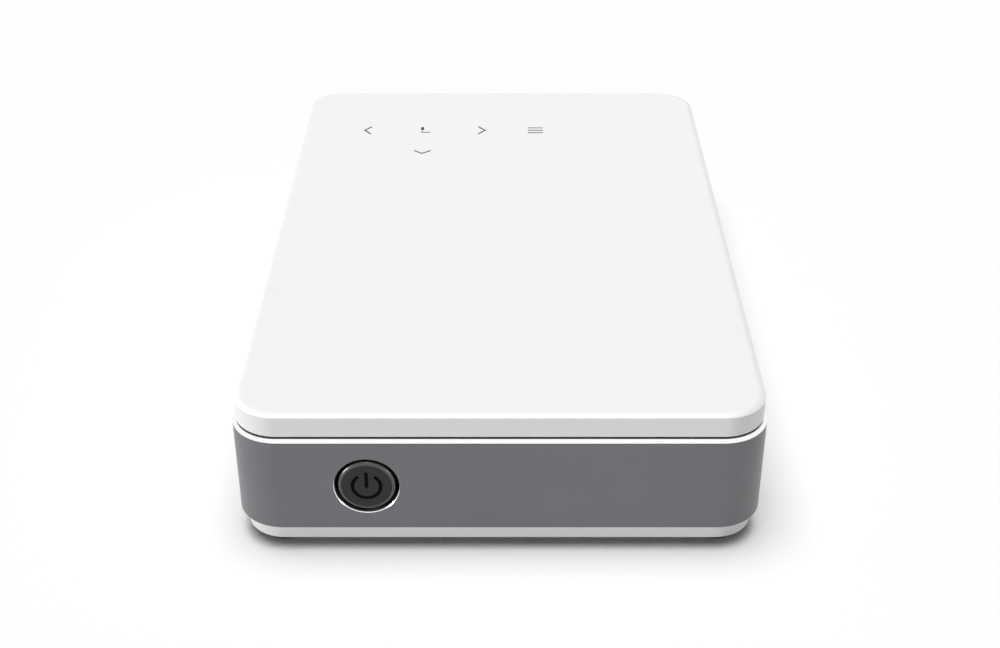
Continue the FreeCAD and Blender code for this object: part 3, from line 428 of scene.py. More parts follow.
class Surface(Nodes):
    """One procedural material around its shader, with its fixed inputs by title."""

    def __init__(self, name, fixed):
        self.material = bpy.data.materials.new(name)
        self.material.use_nodes = True
        super().__init__(self.material.node_tree)
        for title, value in fixed.items():
            self.shade(title, value)

    def shade(self, title, value):
        """Feeds one input of the shader."""
        self.put(self.tree.nodes["Principled BSDF"].inputs[title], value)

    def place(self):
        """Object coordinates, in metres."""
        return self.add("ShaderNodeTexCoord", {}, {}, "Object")

    def noise(self, size, detail=2.0, roughness=0.5, where=None):
        """Noise from 0 to 1 whose blots are about size metres across."""
        where = where if where is not None else self.place()
        sockets = {"Vector": where, "Scale": 1 / size, "Detail": detail, "Roughness": roughness}
        return self.add("ShaderNodeTexNoise", {}, sockets)

    def spread(self, value, low, high):
        """A 0 to 1 value mapped on to low to high."""
        return value * (high - low) + low

    def blend(self, mask, first, second):
        """Colour between two by a mask, which is held between 0 and 1."""
        return self.add("ShaderNodeMix", {"data_type": "RGBA"}, {0: mask, 6: first, 7: second}, out=2)

    def bump(self, height, depth):
        """Feeds the Normal with a bump whose full height is depth metres."""
        self.shade("Normal", self.add("ShaderNodeBump", {}, {"Height": height, "Distance": depth}))


def grey(level, tint=(0.0, 0.0, 0.0)):
    """Linear colour from a 0 to 255 display level, with a small tint added to each channel."""
    shown = (level + np.array(tint)) / 255
    linear = np.where(shown <= 0.04045, shown / 12.92, ((shown + 0.055) / 1.055) ** 2.4)
    return (*[float(channel) for channel in linear], 1.0)


plastic_mottle = 9 * MM
metal_mottle = 14 * MM
glass_mottle = 6 * MM
coat_roughness = 0.12
track_pitch = 1.7 * MM
track_height = 0.03 * MM
foam_hole = 0.8 * MM
foam_relief = 0.3 * MM


def moulded(name, dark, light, roughness, grain, depth, coat=0.0, specular=0.5):
    """Moulded plastic: faint mottling, uneven gloss and a fine grain, whose size and depth are in mm."""
    fixed = {"Coat Weight": coat, "Coat Roughness": coat_roughness, "Specular IOR Level": specular}
    surface = Surface(name, fixed)
    fine = surface.noise(grain * MM, 2.0, 0.6)
    surface.shade("Base Color", surface.blend(surface.noise(plastic_mottle, 3.0), dark, light))
    surface.shade("Roughness", surface.spread(fine, roughness - 0.04, roughness + 0.05))
    surface.bump(fine, depth * MM)
    return surface.material


def metal(name, dark, light, roughness, grain, depth, stretch=(1.0, 1.0, 1.0), metallic=1.0):
    """Metal: a grain in colour, gloss and bump that may be drawn out along an axis, sized in mm."""
    surface = Surface(name, {"Metallic": metallic})
    drawn = surface.add("ShaderNodeMapping", {}, {"Vector": surface.place(), "Scale": stretch})
    fine = surface.noise(grain * MM, 3.0, 0.55, drawn)
    cloud = surface.noise(metal_mottle, 2.0)
    surface.shade("Base Color", surface.blend(fine * 0.6 + cloud * 0.4, dark, light))
    surface.shade("Roughness", surface.spread(fine, roughness - 0.05, roughness + 0.06))
    surface.bump(fine, depth * MM)
    return surface.material


def circuit_board(name):
    """Green solder mask over a faint net of copper tracks."""
    surface = Surface(name, {"Coat Weight": 0.4, "Coat Roughness": 0.2})
    settings = {"feature": "DISTANCE_TO_EDGE", "distance": "MANHATTAN"}
    sockets = {"Vector": surface.place(), "Scale": 1 / track_pitch}
    cells = surface.add("ShaderNodeTexVoronoi", settings, sockets)
    stops = [(0.0, (1, 1, 1, 1)), (0.09, (0, 0, 0, 1))]
    tracks = surface.add("ShaderNodeValToRGB", {"stops": stops}, {0: cells})
    surface.shade("Base Color", surface.blend(tracks, (0.010, 0.085, 0.032, 1), (0.035, 0.17, 0.06, 1)))
    surface.shade("Roughness", surface.spread(surface.noise(2 * MM), 0.3, 0.45))
    surface.bump(tracks, track_height)
    return surface.material


def clear_glass(name, tint, coating):
    """Coated lens glass: clear, with a thin coloured coat that shows at a glance."""
    fixed = {"Transmission Weight": 1.0, "Roughness": 0.02, "IOR": 1.52, "Specular Tint": coating}
    surface = Surface(name, fixed)
    deeper = (*[channel * 0.94 for channel in tint[:3]], 1)
    surface.shade("Base Color", surface.blend(surface.noise(glass_mottle), tint, deeper))
    return surface.material


def foam(name):
    """Open-cell foam: pale struts, with each pore painted darker towards its centre as painted shade inside
    the open cells.
    """
    surface = Surface(name, {})
    sockets = {"Vector": surface.place(), "Scale": 1 / foam_hole}
    cells = surface.add("ShaderNodeTexVoronoi", {}, sockets)
    # Darker towards each cell's centre: painted shade in the pores.
    surface.shade("Base Color", surface.blend(cells, grey(14), grey(62)))
    surface.shade("Roughness", surface.spread(cells, 0.75, 0.95))
    surface.bump(cells, foam_relief)
    return surface.material


cool = (-1, 0, 3)
violet = (4, 0, 6)
amber = (6, 0, -20)
FINISH = {
    "white_shell": moulded("white_satin_shell", grey(227), grey(230), 0.42, 0.22, 0.0012, specular=0.35),
    "anodised_band": metal("blasted_grey_anodising", grey(103, cool), grey(116, cool), 0.42, 0.16, 0.010,
                           metallic=0.5),
    "foot_rubber": moulded("foot_rubber", grey(38), grey(48), 0.82, 0.35, 0.03),
    "steel_screw": metal("plated_screw_steel", grey(168), grey(196), 0.32, 0.3, 0.004),
    "brass": metal("machined_brass", (0.62, 0.42, 0.16, 1), (0.74, 0.54, 0.24, 1), 0.28, 0.2, 0.006,
                   (1.0, 1.0, 8.0)),
    "black_button": moulded("satin_black_button", grey(35), grey(40), 0.42, 0.14, 0.003, specular=0.24),
    "dark_plastic": moulded("black_moulding", grey(30), grey(40), 0.5, 0.25, 0.01),
    "grey_plastic": moulded("grey_moulding", grey(108), grey(122), 0.48, 0.3, 0.01),
    "lens_metal": metal("black_anodised_ring", grey(34), grey(46), 0.38, 0.12, 0.005, metallic=0.6),
    "bezel_metal": metal("polished_bezel", grey(196), grey(214), 0.2, 0.1, 0.002, (1.0, 9.0, 9.0)),
    "lens_glass": clear_glass("coated_glass", (0.93, 0.96, 1.0, 1), (0.72, 0.58, 1.0, 1)),
    "cast_metal": metal("cast_alloy", grey(122), grey(148), 0.55, 0.7, 0.05, metallic=0.85),
    "copper": metal("drawn_copper", (0.55, 0.20, 0.10, 1), (0.75, 0.33, 0.19, 1), 0.3, 0.25, 0.004,
                    (1.0, 0.1, 1.0)),
    "fin_metal": metal("rolled_fin_alloy", grey(188), grey(208), 0.34, 0.2, 0.004, (1.0, 1.0, 0.1)),
    "board_green": circuit_board("solder_mask"),
    "ceramic": moulded("chip_ceramic", grey(86, violet), grey(98, violet), 0.6, 0.3, 0.004),
    "emitter": moulded("lamp_phosphor", (0.72, 0.60, 0.14, 1), (0.84, 0.74, 0.24, 1), 0.45, 0.2, 0.01),
    "tinned_shell": metal("tinned_steel", grey(176), grey(196), 0.26, 0.4, 0.004, (0.2, 1.0, 1.0)),
    "foam": foam("filter_foam"),
    "ribbon": moulded("ribbon_film", grey(214, amber), grey(226, amber), 0.4, 0.5, 0.004),
    "window_tint": moulded("infrared_window", (0.012, 0.002, 0.004, 1), (0.02, 0.004, 0.007, 1), 0.12, 0.5,
                           0.001, 0.6),
}
POLISHED = metal("polished_chamfer", grey(243, (-1, 0, 1)), grey(252, (-1, 0, 1)), 0.18, 0.08, 0.0012,
                 (1.0, 1.0, 6.0))
# Near-black matte: the power symbol's engraving, and also painted shade on the button cap's wall and flange,
# seen in the gap round the cap.
SYMBOL_AND_GAP_SHADE = moulded("engraved_symbol_and_painted_gap_shade", grey(9), grey(13), 0.8, 0.1, 0.004, specular=0.05)
BUTTON_RIM = moulded("button_rim", grey(40), grey(46), 0.28, 0.14, 0.001, specular=1.0)
PRINT = moulded("touch_key_print", grey(62), grey(74), 0.6, 0.1, 0.001, specular=0.2)
GOLD = metal("gold_contact", (0.83, 0.58, 0.20, 1), (0.95, 0.70, 0.30, 1), 0.22, 0.2, 0.001)

for row in frame["record"]["subparts"]:
    for holder in frame["nodes"][row["node"]].material_slots:
        holder.link = "OBJECT"
        holder.material = FINISH[row["material_slot"]]


# ---- Screw posts ----
foot_radius = 5.5 * MM
foot_soft = 0.5 * MM
post_side = 7.0 * MM
post_seat = 3.0 * MM
long_screw_head = (2.2 * MM, 1.6 * MM)
long_screw_shank = (1.25 * MM, 11.0 * MM)
small_screw_head = (1.8 * MM, 1.2 * MM)
small_screw_shank = (1.0 * MM, 4.0 * MM)
counterbore_gap = 0.3 * MM
hole_gap = 0.2 * MM
pilot_end = 9.0 * MM
bore_steps = 32
tap_steps = 24
board_corner = 4.0 * MM
lug_side = 6.0 * MM
lug_thickness = 2.0 * MM
boss_wall = 1.5 * MM
lamp_block_half = 5.0 * MM


def corner_spots():
    """Centres of the four corner posts, from the feet that sit under them."""
    low, high = corners_of("rubber_feet")
    return [(x, y) for x in (low[0] + foot_radius, high[0] - foot_radius)
            for y in (low[1] + foot_radius, high[1] - foot_radius)]


def lug_spots():
    """Centres of the optical engine's two lugs."""
    low, high = corners_of("engine_housing")
    beside = middle("prism")[0] + lamp_block_half + lug_side / 2 + boss_wall / 2
    return [(low[0] + lug_side / 2 + boss_wall, high[1] - lug_side / 2), (beside, low[1] + lug_side / 2)]


def board_spots():
    """Centres of the main board's two screws, on one diagonal."""
    low, high = corners_of("main_board")
    return [tuple(low[:2] + board_corner), tuple(high[:2] - board_corner)]


def square_stand(spot, side, low, high):
    """Square stand about a spot, from one height to another."""
    x, y = spot[:2]
    half = side / 2
    return box_form((x - half, y - half, low), (x + half, y + half, high))


def posts(low, high):
    """Square screw posts at the four corners."""
    return together([square_stand(spot, post_side, low, high) for spot in corner_spots()])


def post_bores(rows):
    """Cutters along the four posts, from (radius, height) rows."""
    return together([revolved(rows, "z", (*spot, 0), steps=bore_steps) for spot in corner_spots()])


# ---- Top shell ----
print_depth = 0.04 * MM
print_stroke = 0.48 * MM
ARROW = np.array([(0.87, 2.25), (-0.87, 0), (0.87, -2.25)]) * MM
DOWN = np.array([(-2.1, 0.85), (0, -0.85), (2.1, 0.85)]) * MM
TAIL = np.array([(-0.8, -0.75), (-0.4, -1.2), (1.5, -1.2)]) * MM
BAR = np.array([(-1.95, 0), (1.95, 0)]) * MM
bar_step = 1.5 * MM
enter_square = (0.8 * MM, 1.9 * MM)
key_row = 52.05 * MM
left_key = (-34.2 * MM, key_row)
enter_key = (-19.6 * MM, key_row)
enter_square_spot = (-20.1 * MM, key_row + 1.05 * MM)
right_key = (-4.7 * MM, key_row)
list_key = (9.2 * MM, key_row)
down_key = (-19.6 * MM, 38.9 * MM)


def stroke(points):
    """A flat mitred line through points: each point moved half a stroke to both sides."""
    runs = directions(np.diff(points, axis=0))
    before = np.vstack([runs[:1], runs])
    mean = directions(before + np.vstack([runs, runs[-1:]]))
    reach = print_stroke / 2 / np.sum(mean * before, axis=1)
    side = np.stack([-mean[:, 1], mean[:, 0]], axis=1) * reach[:, None]
    return np.vstack([points - side, (points + side)[::-1]])


def touch_signs():
    """Cutters of five generic key signs, sunk a hair into the top: left, right, enter, list and down."""
    signs = [(stroke(ARROW), left_key), (stroke(ARROW[::-1] * (-1, 1)), right_key)]
    signs += [(rounded_rectangle(*enter_square, edge_break), enter_square_spot), (stroke(TAIL), enter_key)]
    signs += [(stroke(BAR + (0, y)), list_key) for y in (-bar_step, 0, bar_step)]
    signs += [(stroke(DOWN), down_key)]
    ends = (z_top - print_depth, z_top + print_depth)
    return [extruded(outline, "z", *ends, (*spot, 0), 1) for outline, spot in signs]


def make_top_shell():
    """Profile: ceiling, inner wall, tongue, skirt, falling edge and flat top, carried round the plan.

    The edge falls on an arc that leaves the flat top level: z = top - radius x (1 - cos a), and it ends
    where a is cover_turn degrees and the fall is cover_fall.
    """
    inner = cover_inset + cover_wall
    curve = cover_fall / (1 - math.cos(math.radians(cover_turn)))
    flat = cover_inset + curve * math.sin(math.radians(cover_turn))
    rows = [(inner + cap_inset, z_ceiling), (inner, z_ceiling), (inner, z_ledge), (lip_inset, z_ledge)]
    rows += [(lip_inset, z_cover), (cover_inset + edge_break, z_cover), (cover_inset, z_cover + edge_break)]
    rows += [(cover_inset, z_top - cover_fall - edge_break)]
    rows += arc(flat, z_top - curve, curve, 90 + cover_turn, 90, 8)
    rows += [(flat + edge_break, z_top), (flat + cap_inset, z_top)]
    pilot = long_screw_shank[0] + edge_break
    bores = post_bores([(pilot, z_axis - overshoot), (pilot, z_axis + pilot_end)])
    piece("top_shell", carried(rows), "housing", "white_shell", ["top_cover"], [PRINT],
          joins=[posts(z_axis, z_ceiling + edge_break)], cuts=[bores] + touch_signs())


# ---- Band ----
slot_width = 2.2 * MM
slot_height = 13.0 * MM
slot_pitch = 4.6 * MM
exhaust_margin = 3.0 * MM
intake_margin = 2.0 * MM
port_gap = 0.3 * MM
port_corner = 0.5 * MM
dc_nose_radius = 3.5 * MM
audio_nose_radius = 2.5 * MM
button_radius = 5.67 * MM
button_ring_gap = 0.65 * MM
hole_chamfer = 0.12 * MM
window_width = 8.0 * MM
window_height = 4.0 * MM
lock_height = 3.0 * MM
lock_width = 7.0 * MM


def make_band_ring():
    """Profile: blasted wall, polished chamfer and rim, inner wall and ledge, carried round and then cut."""
    blasted = 0
    polished = 1
    rows = [
        (0.0, z_band + edge_break, blasted),
        (0.0, z_band_top - band_chamfer, polished),
        (band_chamfer, z_band_top, polished),
        (cover_inset + edge_break, z_band_top, blasted),
        (band_wall, z_band_top, blasted),
        (band_wall, z_ledge, blasted),
        (band_wall + ledge_width, z_ledge, blasted),
        (band_wall + ledge_width, z_ledge - ledge_thickness, blasted),
        (band_wall, z_ledge - ledge_thickness, blasted),
        (band_wall, z_band, blasted),
        (edge_break, z_band, blasted),
    ]
    ring = carried([row[:2] for row in rows], loop=True, finish=[row[2] for row in rows])
    piece("band_ring", ring, "housing", "anodised_band", ["band_frame"], [POLISHED], cuts=band_cutters())


def wall_cut(axis, side, outline, centre):
    """A cutter through one wall of the band, on the side given by its sign."""
    face = half_x if axis == "x" else half_y
    ends = sorted((side * (face + overshoot), side * (face - band_wall - overshoot / 2)))
    return extruded(outline, axis, *ends, centre)


def band_cutters():
    """Cutters for the button hole, lens, receiver, lock, vents and sockets."""
    hole = button_radius + button_ring_gap
    front = -half_y
    rows = [(hole + hole_chamfer + overshoot, front - overshoot), (hole, front + hole_chamfer)]
    rows += [(hole, front + band_wall + overshoot / 2)]
    cutters = [revolved(rows, "y", button_axis, finish=[1, 0])]
    cutters += [wall_cut("x", -1, circle(half_width("lens_bezel", 2)), lens_axis)]
    cutters += [wall_cut("x", -1, pill(window_width, window_height), middle("receiver_window"))]
    cutters += [wall_cut("y", 1, pill(lock_height, lock_width), middle("lock_plate"))]
    slot = pill(slot_width, slot_height, 8)
    for node, side, margin in (("heat_sink", -1, exhaust_margin), ("intake_filter", 1, intake_margin)):
        low, high = corners_of(node)
        count = int((high[1] - low[1] - margin * 2) / slot_pitch) + 1
        places = middle(node)[1] + spaced(count, slot_pitch)
        cutters += [wall_cut("x", side, slot, (0, y, z_axis)) for y in places]
    for node in ("video_socket", "data_socket"):
        low, high = corners_of(node)
        size = high - low + port_gap * 2
        cutters += [wall_cut("x", 1, rounded_rectangle(size[1], size[2], port_corner), middle(node))]
    for node, radius in (("dc_inlet", dc_nose_radius), ("audio_jack", audio_nose_radius)):
        cutters += [wall_cut("x", 1, circle(radius + port_gap), middle(node))]
    return cutters


# ---- Base tray and feet ----
well_radius = 8.9 * MM
well_depth = 3.1 * MM
boss_side = 21.0 * MM
boss_height = 4.7 * MM
neck_radius = 4.3 * MM
speaker_slots = 6
speaker_slot_pitch = 3.0 * MM
speaker_slot = (15.0 * MM, 1.6 * MM)
stud_side = 5.0 * MM
insert_wall = 2.0 * MM
rail_inset = 3.0 * MM
rail_width = 1.2 * MM
rib_width = 1.2 * MM
rib_gap = 0.3 * MM
rib_height = 6.0 * MM


def make_base_tray():
    """Profile: underside, rounded edge, skirt, lip, inner wall and floor, carried round the plan."""
    inner = base_inset + base_wall
    edge = base_inset + base_round
    rows = [(edge + cap_inset, z_base), (edge + edge_break, z_base)]
    rows += arc(edge, z_base + base_round, base_round, 270, 180, 8)
    rows += [(base_inset, z_band - edge_break), (base_inset + edge_break, z_band), (lip_inset, z_band)]
    rows += [(lip_inset, z_band + lip_height), (inner, z_band + lip_height), (inner, z_floor)]
    rows += [(inner + cap_inset, z_floor)]
    piece("base_tray", carried(rows), "housing", "white_shell", ["base_pan"], joins=[base_solids()],
          cuts=base_cutters())


def base_solids():
    """Corner posts, the elevator's and the insert's bosses, stands for board and engine, rails and ribs."""
    sunk = z_base + base_floor / 2
    board_low, board_high = corners_of("main_board")
    near = board_low + board_corner
    far = board_high - board_corner
    sink_low, sink_high = corners_of("heat_sink")
    insert_side = (half_width("tripod_insert", 0) + insert_wall) * 2
    stands = [(middle("tilt_wheel"), boss_side, z_base + boss_height)]
    stands += [(middle("tripod_insert"), insert_side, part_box("tripod_insert")[1][2])]
    stands += [((x, y), stud_side, board_low[2]) for x in (near[0], far[0]) for y in (near[1], far[1])]
    stands += [(spot, stud_side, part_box("engine_housing")[0][2]) for spot in lug_spots()]
    forms = [posts(sunk, z_axis)] + [square_stand(spot, side, sunk, top) for spot, side, top in stands]
    for x in (sink_low[0] + rail_inset, sink_high[0] - rail_inset - rail_width):
        forms += [box_form((x, sink_low[1], sunk), (x + rail_width, sink_high[1], sink_low[2]))]
    fan_low, fan_high = corners_of("fan_frame_a")
    next_low, next_high = corners_of("fan_frame_b")
    for y in ((fan_low[1] + next_high[1]) / 2, next_low[1] - rib_gap - rib_width / 2):
        low = (fan_low[0], y - rib_width / 2, sunk)
        forms += [box_form(low, (fan_high[0], y + rib_width / 2, z_floor + rib_height))]
    return together(forms)


def base_cutters():
    """Screw bores, well and neck hole of the elevator, tripod bore and speaker slots."""
    below = z_base - overshoot
    insert_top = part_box("tripod_insert")[1][2]
    insert_hole = circle(half_width("tripod_insert", 0))
    seat = z_axis - post_seat
    head = long_screw_head[0] + counterbore_gap
    shank = long_screw_shank[0] + hole_gap
    well = [(well_radius, below), (well_radius, z_base + well_depth), (neck_radius, z_base + well_depth)]
    well += [(neck_radius, z_base + boss_height + overshoot)]
    cutters = [
        post_bores([(head, below), (head, seat), (shank, seat), (shank, z_axis + overshoot)]),
        revolved(well, "z", middle("tilt_wheel")),
        extruded(insert_hole, "z", below, insert_top + overshoot, middle("tripod_insert")),
    ]
    tap = circle(small_screw_shank[0] + running_fit, tap_steps)
    for node, spots in (("main_board", board_spots()), ("engine_housing", lug_spots())):
        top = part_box(node)[0][2]
        ends = (top - small_screw_shank[1], top + overshoot)
        cutters += [extruded(tap, "z", *ends, (*spot, 0)) for spot in spots]
    slot = pill(*speaker_slot)
    for y in spaced(speaker_slots, speaker_slot_pitch):
        cutters += [extruded(slot, "z", below, z_floor + overshoot / 2, middle("speaker") + (0, y, 0))]
    return cutters


def make_foot_pads():
    """Four feet: a profile with a rounded lower edge, turned about each post's axis."""
    rows = arc(foot_radius - foot_soft, foot_soft, foot_soft, -90, 0) + [(foot_radius, z_base)]
    pads = together([revolved(rows, "z", (*spot, 0)) for spot in corner_spots()])
    piece("foot_pads", pads, "housing", "foot_rubber", ["rubber_feet"])


# ---- Power button ----
button_bevel = 0.7 * MM
button_flange_radius = 6.97 * MM
button_flange_thickness = 1.0 * MM
symbol_outer = 3.08 * MM
symbol_stroke = 0.7 * MM
symbol_gap = 34.0
symbol_steps = 61
symbol_depth = 0.15 * MM
symbol_corner = 0.1 * MM
bar_low = -0.35 * MM
bar_high = 3.3 * MM


def power_symbol(front):
    """Cutters of the power sign: an open ring and an upright bar, in the (z, x) plane of the cap."""
    ring = unit(np.radians(np.linspace(symbol_gap, 360 - symbol_gap, symbol_steps)))
    outline = np.vstack([ring * symbol_outer, ring[::-1] * (symbol_outer - symbol_stroke)])
    bar = rounded_rectangle(bar_high - bar_low, symbol_stroke, symbol_corner)
    ends = (front - symbol_depth, front + symbol_depth)
    bar_spot = np.array(button_axis) + (0, 0, (bar_high + bar_low) / 2)
    return [extruded(outline, "y", *ends, button_axis, 1), extruded(bar, "y", *ends, bar_spot, 1)]


def make_button_cap():
    """Profile: flat face, rounded bevel, wall and flange, turned about the travel axis. The wall and flange
    take the near-black symbol material as painted shade in the gap round the cap.
    """
    front = button_low[1]
    back = button_high[1]
    step = back - button_flange_thickness
    face = button_radius - button_bevel
    bevel = arc(face, front + button_bevel, button_bevel, -90, 0)
    rows = [(face - cap_inset, front)] + bevel
    rows += [(button_radius, step), (button_flange_radius, step), (button_flange_radius, back)]
    # The rows after the bevel (wall and flange) take material 1, near-black, as painted shade in the gap
    # round the cap.
    marks = [0] + [2] * (len(bevel) - 1) + [1] * 3
    cap = revolved(rows, "y", button_axis, finish=marks)
    piece("button_cap", cap, "button", "black_button", ["power_button"], [SYMBOL_AND_GAP_SHADE, BUTTON_RIM],
          cuts=power_symbol(front))


# ---- Lens and focus ----
bezel_wall = 1.2 * MM
bezel_dish = 0.3 * MM
ring_grips = 10
ring_grip_depth = 0.4 * MM
ring_grip_width = 1.0 * MM
ring_grip_slope = 0.12
ring_soft = 0.18 * MM
ring_steps = 360
barrel_seat = 1.0 * MM
barrel_wall = 1.7 * MM
baffle_pitch = 0.7 * MM
baffle_depth = 0.25 * MM
lens_rim = 1.2 * MM
lens_flat = 0.8 * MM
lens_steps = 24
dome_start = 0.03
key_side = 1.2 * MM
key_front = -43.1 * MM
window_flange = 1.0 * MM
window_soft = 0.25 * MM


def make_lens_trim():
    """Bezel: outer wall, back, bore, and a face dished towards the bore, turned about the lens axis."""
    front = bezel_low[0]
    back = bezel_high[0]
    outer = half_width("lens_bezel", 2)
    bore = outer - bezel_wall
    rows = [(outer, front + edge_break), (outer, back), (bore, back), (bore, front + bezel_dish + edge_break)]
    rows += [(bore + edge_break, front + bezel_dish), (outer - bezel_wall / 3, front)]
    rows += [(outer - edge_break, front)]
    trim = revolved(rows, "x", lens_axis, loop=True)
    piece("lens_trim", trim, "housing", "bezel_metal", ["lens_bezel"])


def make_focus_grip():
    """Focus ring: a turned section, its face pushed back in the notches, where cos(grips x angle) is high."""
    low, high = corners_of("focus_ring")
    outer = half_width("focus_ring", 2)
    bore = half_width("lens_barrel", 1) + running_fit
    halfway = (outer + bore) / 2
    edge = math.cos(ring_grips * ring_grip_width / 2 / outer)

    def notched(angle, radius, place):
        share = np.clip((np.cos(ring_grips * angle) - edge) / ring_grip_slope + 0.5, 0, 1)
        floor = np.where(radius > halfway + ring_soft, low[0] + share * ring_grip_depth, low[0])
        return radius, np.maximum(place, floor)

    rows = [(outer, low[0] + ring_grip_depth + ring_soft), (outer, high[0] - ring_soft)]
    rows += [(outer - ring_soft, high[0]), (bore, high[0]), (bore, low[0] + ring_soft)]
    rows += arc(bore + ring_soft, low[0] + ring_soft, ring_soft, 180, 270, 4)
    rows += [(halfway, low[0]), (halfway + ring_soft * 1.1, low[0])]
    rows += arc(outer - ring_soft, low[0] + ring_soft, ring_soft, 270, 360, 4)
    ring = revolved(rows, "x", lens_axis, loop=True, steps=ring_steps, ripple=notched)
    piece("focus_grip", ring, "focus", "lens_metal", ["focus_ring"])


def make_lens_tube():
    """Barrel: wall, a seat for the front glass, a bore stepped into light baffles, and the key on top."""
    low, high = corners_of("lens_barrel")
    radius = half_width("lens_barrel", 1)
    bore = radius - barrel_wall
    seat = radius - barrel_seat
    seat_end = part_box("front_lens")[1][0]
    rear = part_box("rear_lens")[0][0]
    rows = [(radius, low[0] + edge_break), (radius, high[0]), (bore, high[0])]
    for place in np.arange(rear - baffle_pitch, seat_end + baffle_pitch, -baffle_pitch):
        rows += [(bore, place), (bore + baffle_depth, place - baffle_pitch / 4)]
        rows += [(bore + baffle_depth, place - baffle_pitch / 2), (bore, place - baffle_pitch * 3 / 4)]
    rows += [(bore, seat_end), (seat, seat_end), (seat, low[0] + edge_break)]
    rows += [(seat + edge_break, low[0]), (radius - edge_break, low[0])]
    tube = revolved(rows, "x", lens_axis, loop=True)
    key = box_form((key_front, lens_y - key_side / 2, z_axis + bore + barrel_wall / 2),
                   (key_front + key_side, lens_y + key_side / 2, high[2]))
    piece("lens_tube", tube, "barrel", "lens_metal", ["lens_barrel"], joins=[key])


def make_front_glass():
    """Front lens: a spherical dome, a flat rim and a flat back, turned about the lens axis."""
    low, high = corners_of("front_lens")
    radius = half_width("front_lens", 1)
    clear = radius - lens_flat
    bulge = high[0] - low[0] - lens_rim
    sphere = (clear ** 2 + bulge ** 2) / (2 * bulge)
    angle = np.linspace(dome_start, math.asin(clear / sphere), lens_steps)
    rows = list(zip(sphere * np.sin(angle), low[0] + sphere * (1 - np.cos(angle))))
    rows += [(radius - edge_break, high[0] - lens_rim), (radius, high[0] - lens_rim + edge_break)]
    rows += [(radius, high[0])]
    piece("front_glass", revolved(rows, "x", lens_axis), "barrel", "lens_glass", ["front_lens"])


def make_remote_window():
    """Receiver window: a pill-shaped plug with a rounded face, and a wider flange behind the wall."""
    low, high = corners_of("receiver_window")
    inner = -half_x + band_wall
    rows = arc(window_soft, low[0] + window_soft, -window_soft, 90, 0)
    rows += [(0, inner), (-window_flange, inner), (-window_flange, high[0])]
    rows = [(inset + (running_fit if place < inner else 0), place) for inset, place in rows]
    window = layered(pill(window_width, window_height, 16), rows, "x", middle("receiver_window"))
    piece("remote_window", window, "housing", "window_tint", ["receiver_window"])


# ---- Cooling ----
fan_bore_wall = 0.9 * MM
fan_tip_gap = 0.6 * MM
fan_web = 1.5 * MM
fan_axial_gap = 0.5 * MM
fan_hub_radius = 5.2 * MM
fan_shaft_radius = 0.75 * MM
fan_blades = 7
hub_soft = 0.7 * MM
blade_chord = (6.2 * MM, 8.2 * MM)
blade_pitch = (50.0, 30.0)
blade_sweep = 22.0
blade_camber = 0.9 * MM
blade_thickness = 0.8 * MM
blade_taper = 0.3
blade_grid = (14, 28)


def blade_ring(centre, middle_x, tip):
    """Fan blades wrapped on cylinders: a cambered, rounded section whose chord grows and whose pitch falls
    from root to tip, while the sections lean ahead with the turn."""
    span = np.linspace(0, 1, blade_grid[0])[:, None]
    around = np.linspace(0, 2 * math.pi, blade_grid[1], endpoint=False)[None]
    chord = blade_chord[0] + (blade_chord[1] - blade_chord[0]) * span
    pitch = np.radians(blade_pitch[0] + (blade_pitch[1] - blade_pitch[0]) * span)
    station = np.cos(around)
    thickness = blade_thickness / 2 * np.sin(around) * (1 - blade_taper * station)
    height = blade_camber * (1 - station ** 2) - thickness
    along = station * chord / 2
    axial = along * np.sin(pitch) - height * np.cos(pitch)
    tangent = along * np.cos(pitch) + height * np.sin(pitch)
    radius = (fan_hub_radius - hub_soft) * (1 - span) + tip * span
    blades = []
    for turn in np.arange(fan_blades) * 2 * math.pi / fan_blades:
        angle = turn + math.radians(blade_sweep) * span + tangent / radius
        place = np.broadcast_to(middle_x + axial, angle.shape)
        across = radius[..., None] * unit(angle) + across_of("x", centre)
        blades.append(grid_form(placed(across, place, "x")[::-1]))
    return together(blades)


def make_fan_impeller(letter):
    """Hub and shaft turned about the fan's axis, joined with its blades."""
    low, high = corners_of("fan_frame_" + letter)
    centre = (low + high) / 2
    front = low[0] + fan_web + fan_axial_gap
    back = high[0] - fan_axial_gap
    rows = [(fan_shaft_radius - edge_break, low[0]), (fan_shaft_radius, low[0] + edge_break)]
    rows += [(fan_shaft_radius, front), (fan_hub_radius / 2, front)]
    rows += arc(fan_hub_radius - hub_soft, front + hub_soft, hub_soft, -90, 0)
    rows += [(fan_hub_radius, back - edge_break), (fan_hub_radius - edge_break, back)]
    tip = half_width("fan_frame_" + letter, 1) - fan_bore_wall - fan_tip_gap
    piece("fan_impeller_" + letter, revolved(rows, "x", centre), "rotor_" + letter, "dark_plastic",
          ["fan_rotor_" + letter], joins=[blade_ring(centre, (front + back) / 2, tip)])


foam_pore = 0.09 * MM
foam_cell = 0.9 * MM
foam_grid = (260, 130)
foam_sway_around = (2.1, 1.7)
foam_sway_along = (1.3, 0.37)


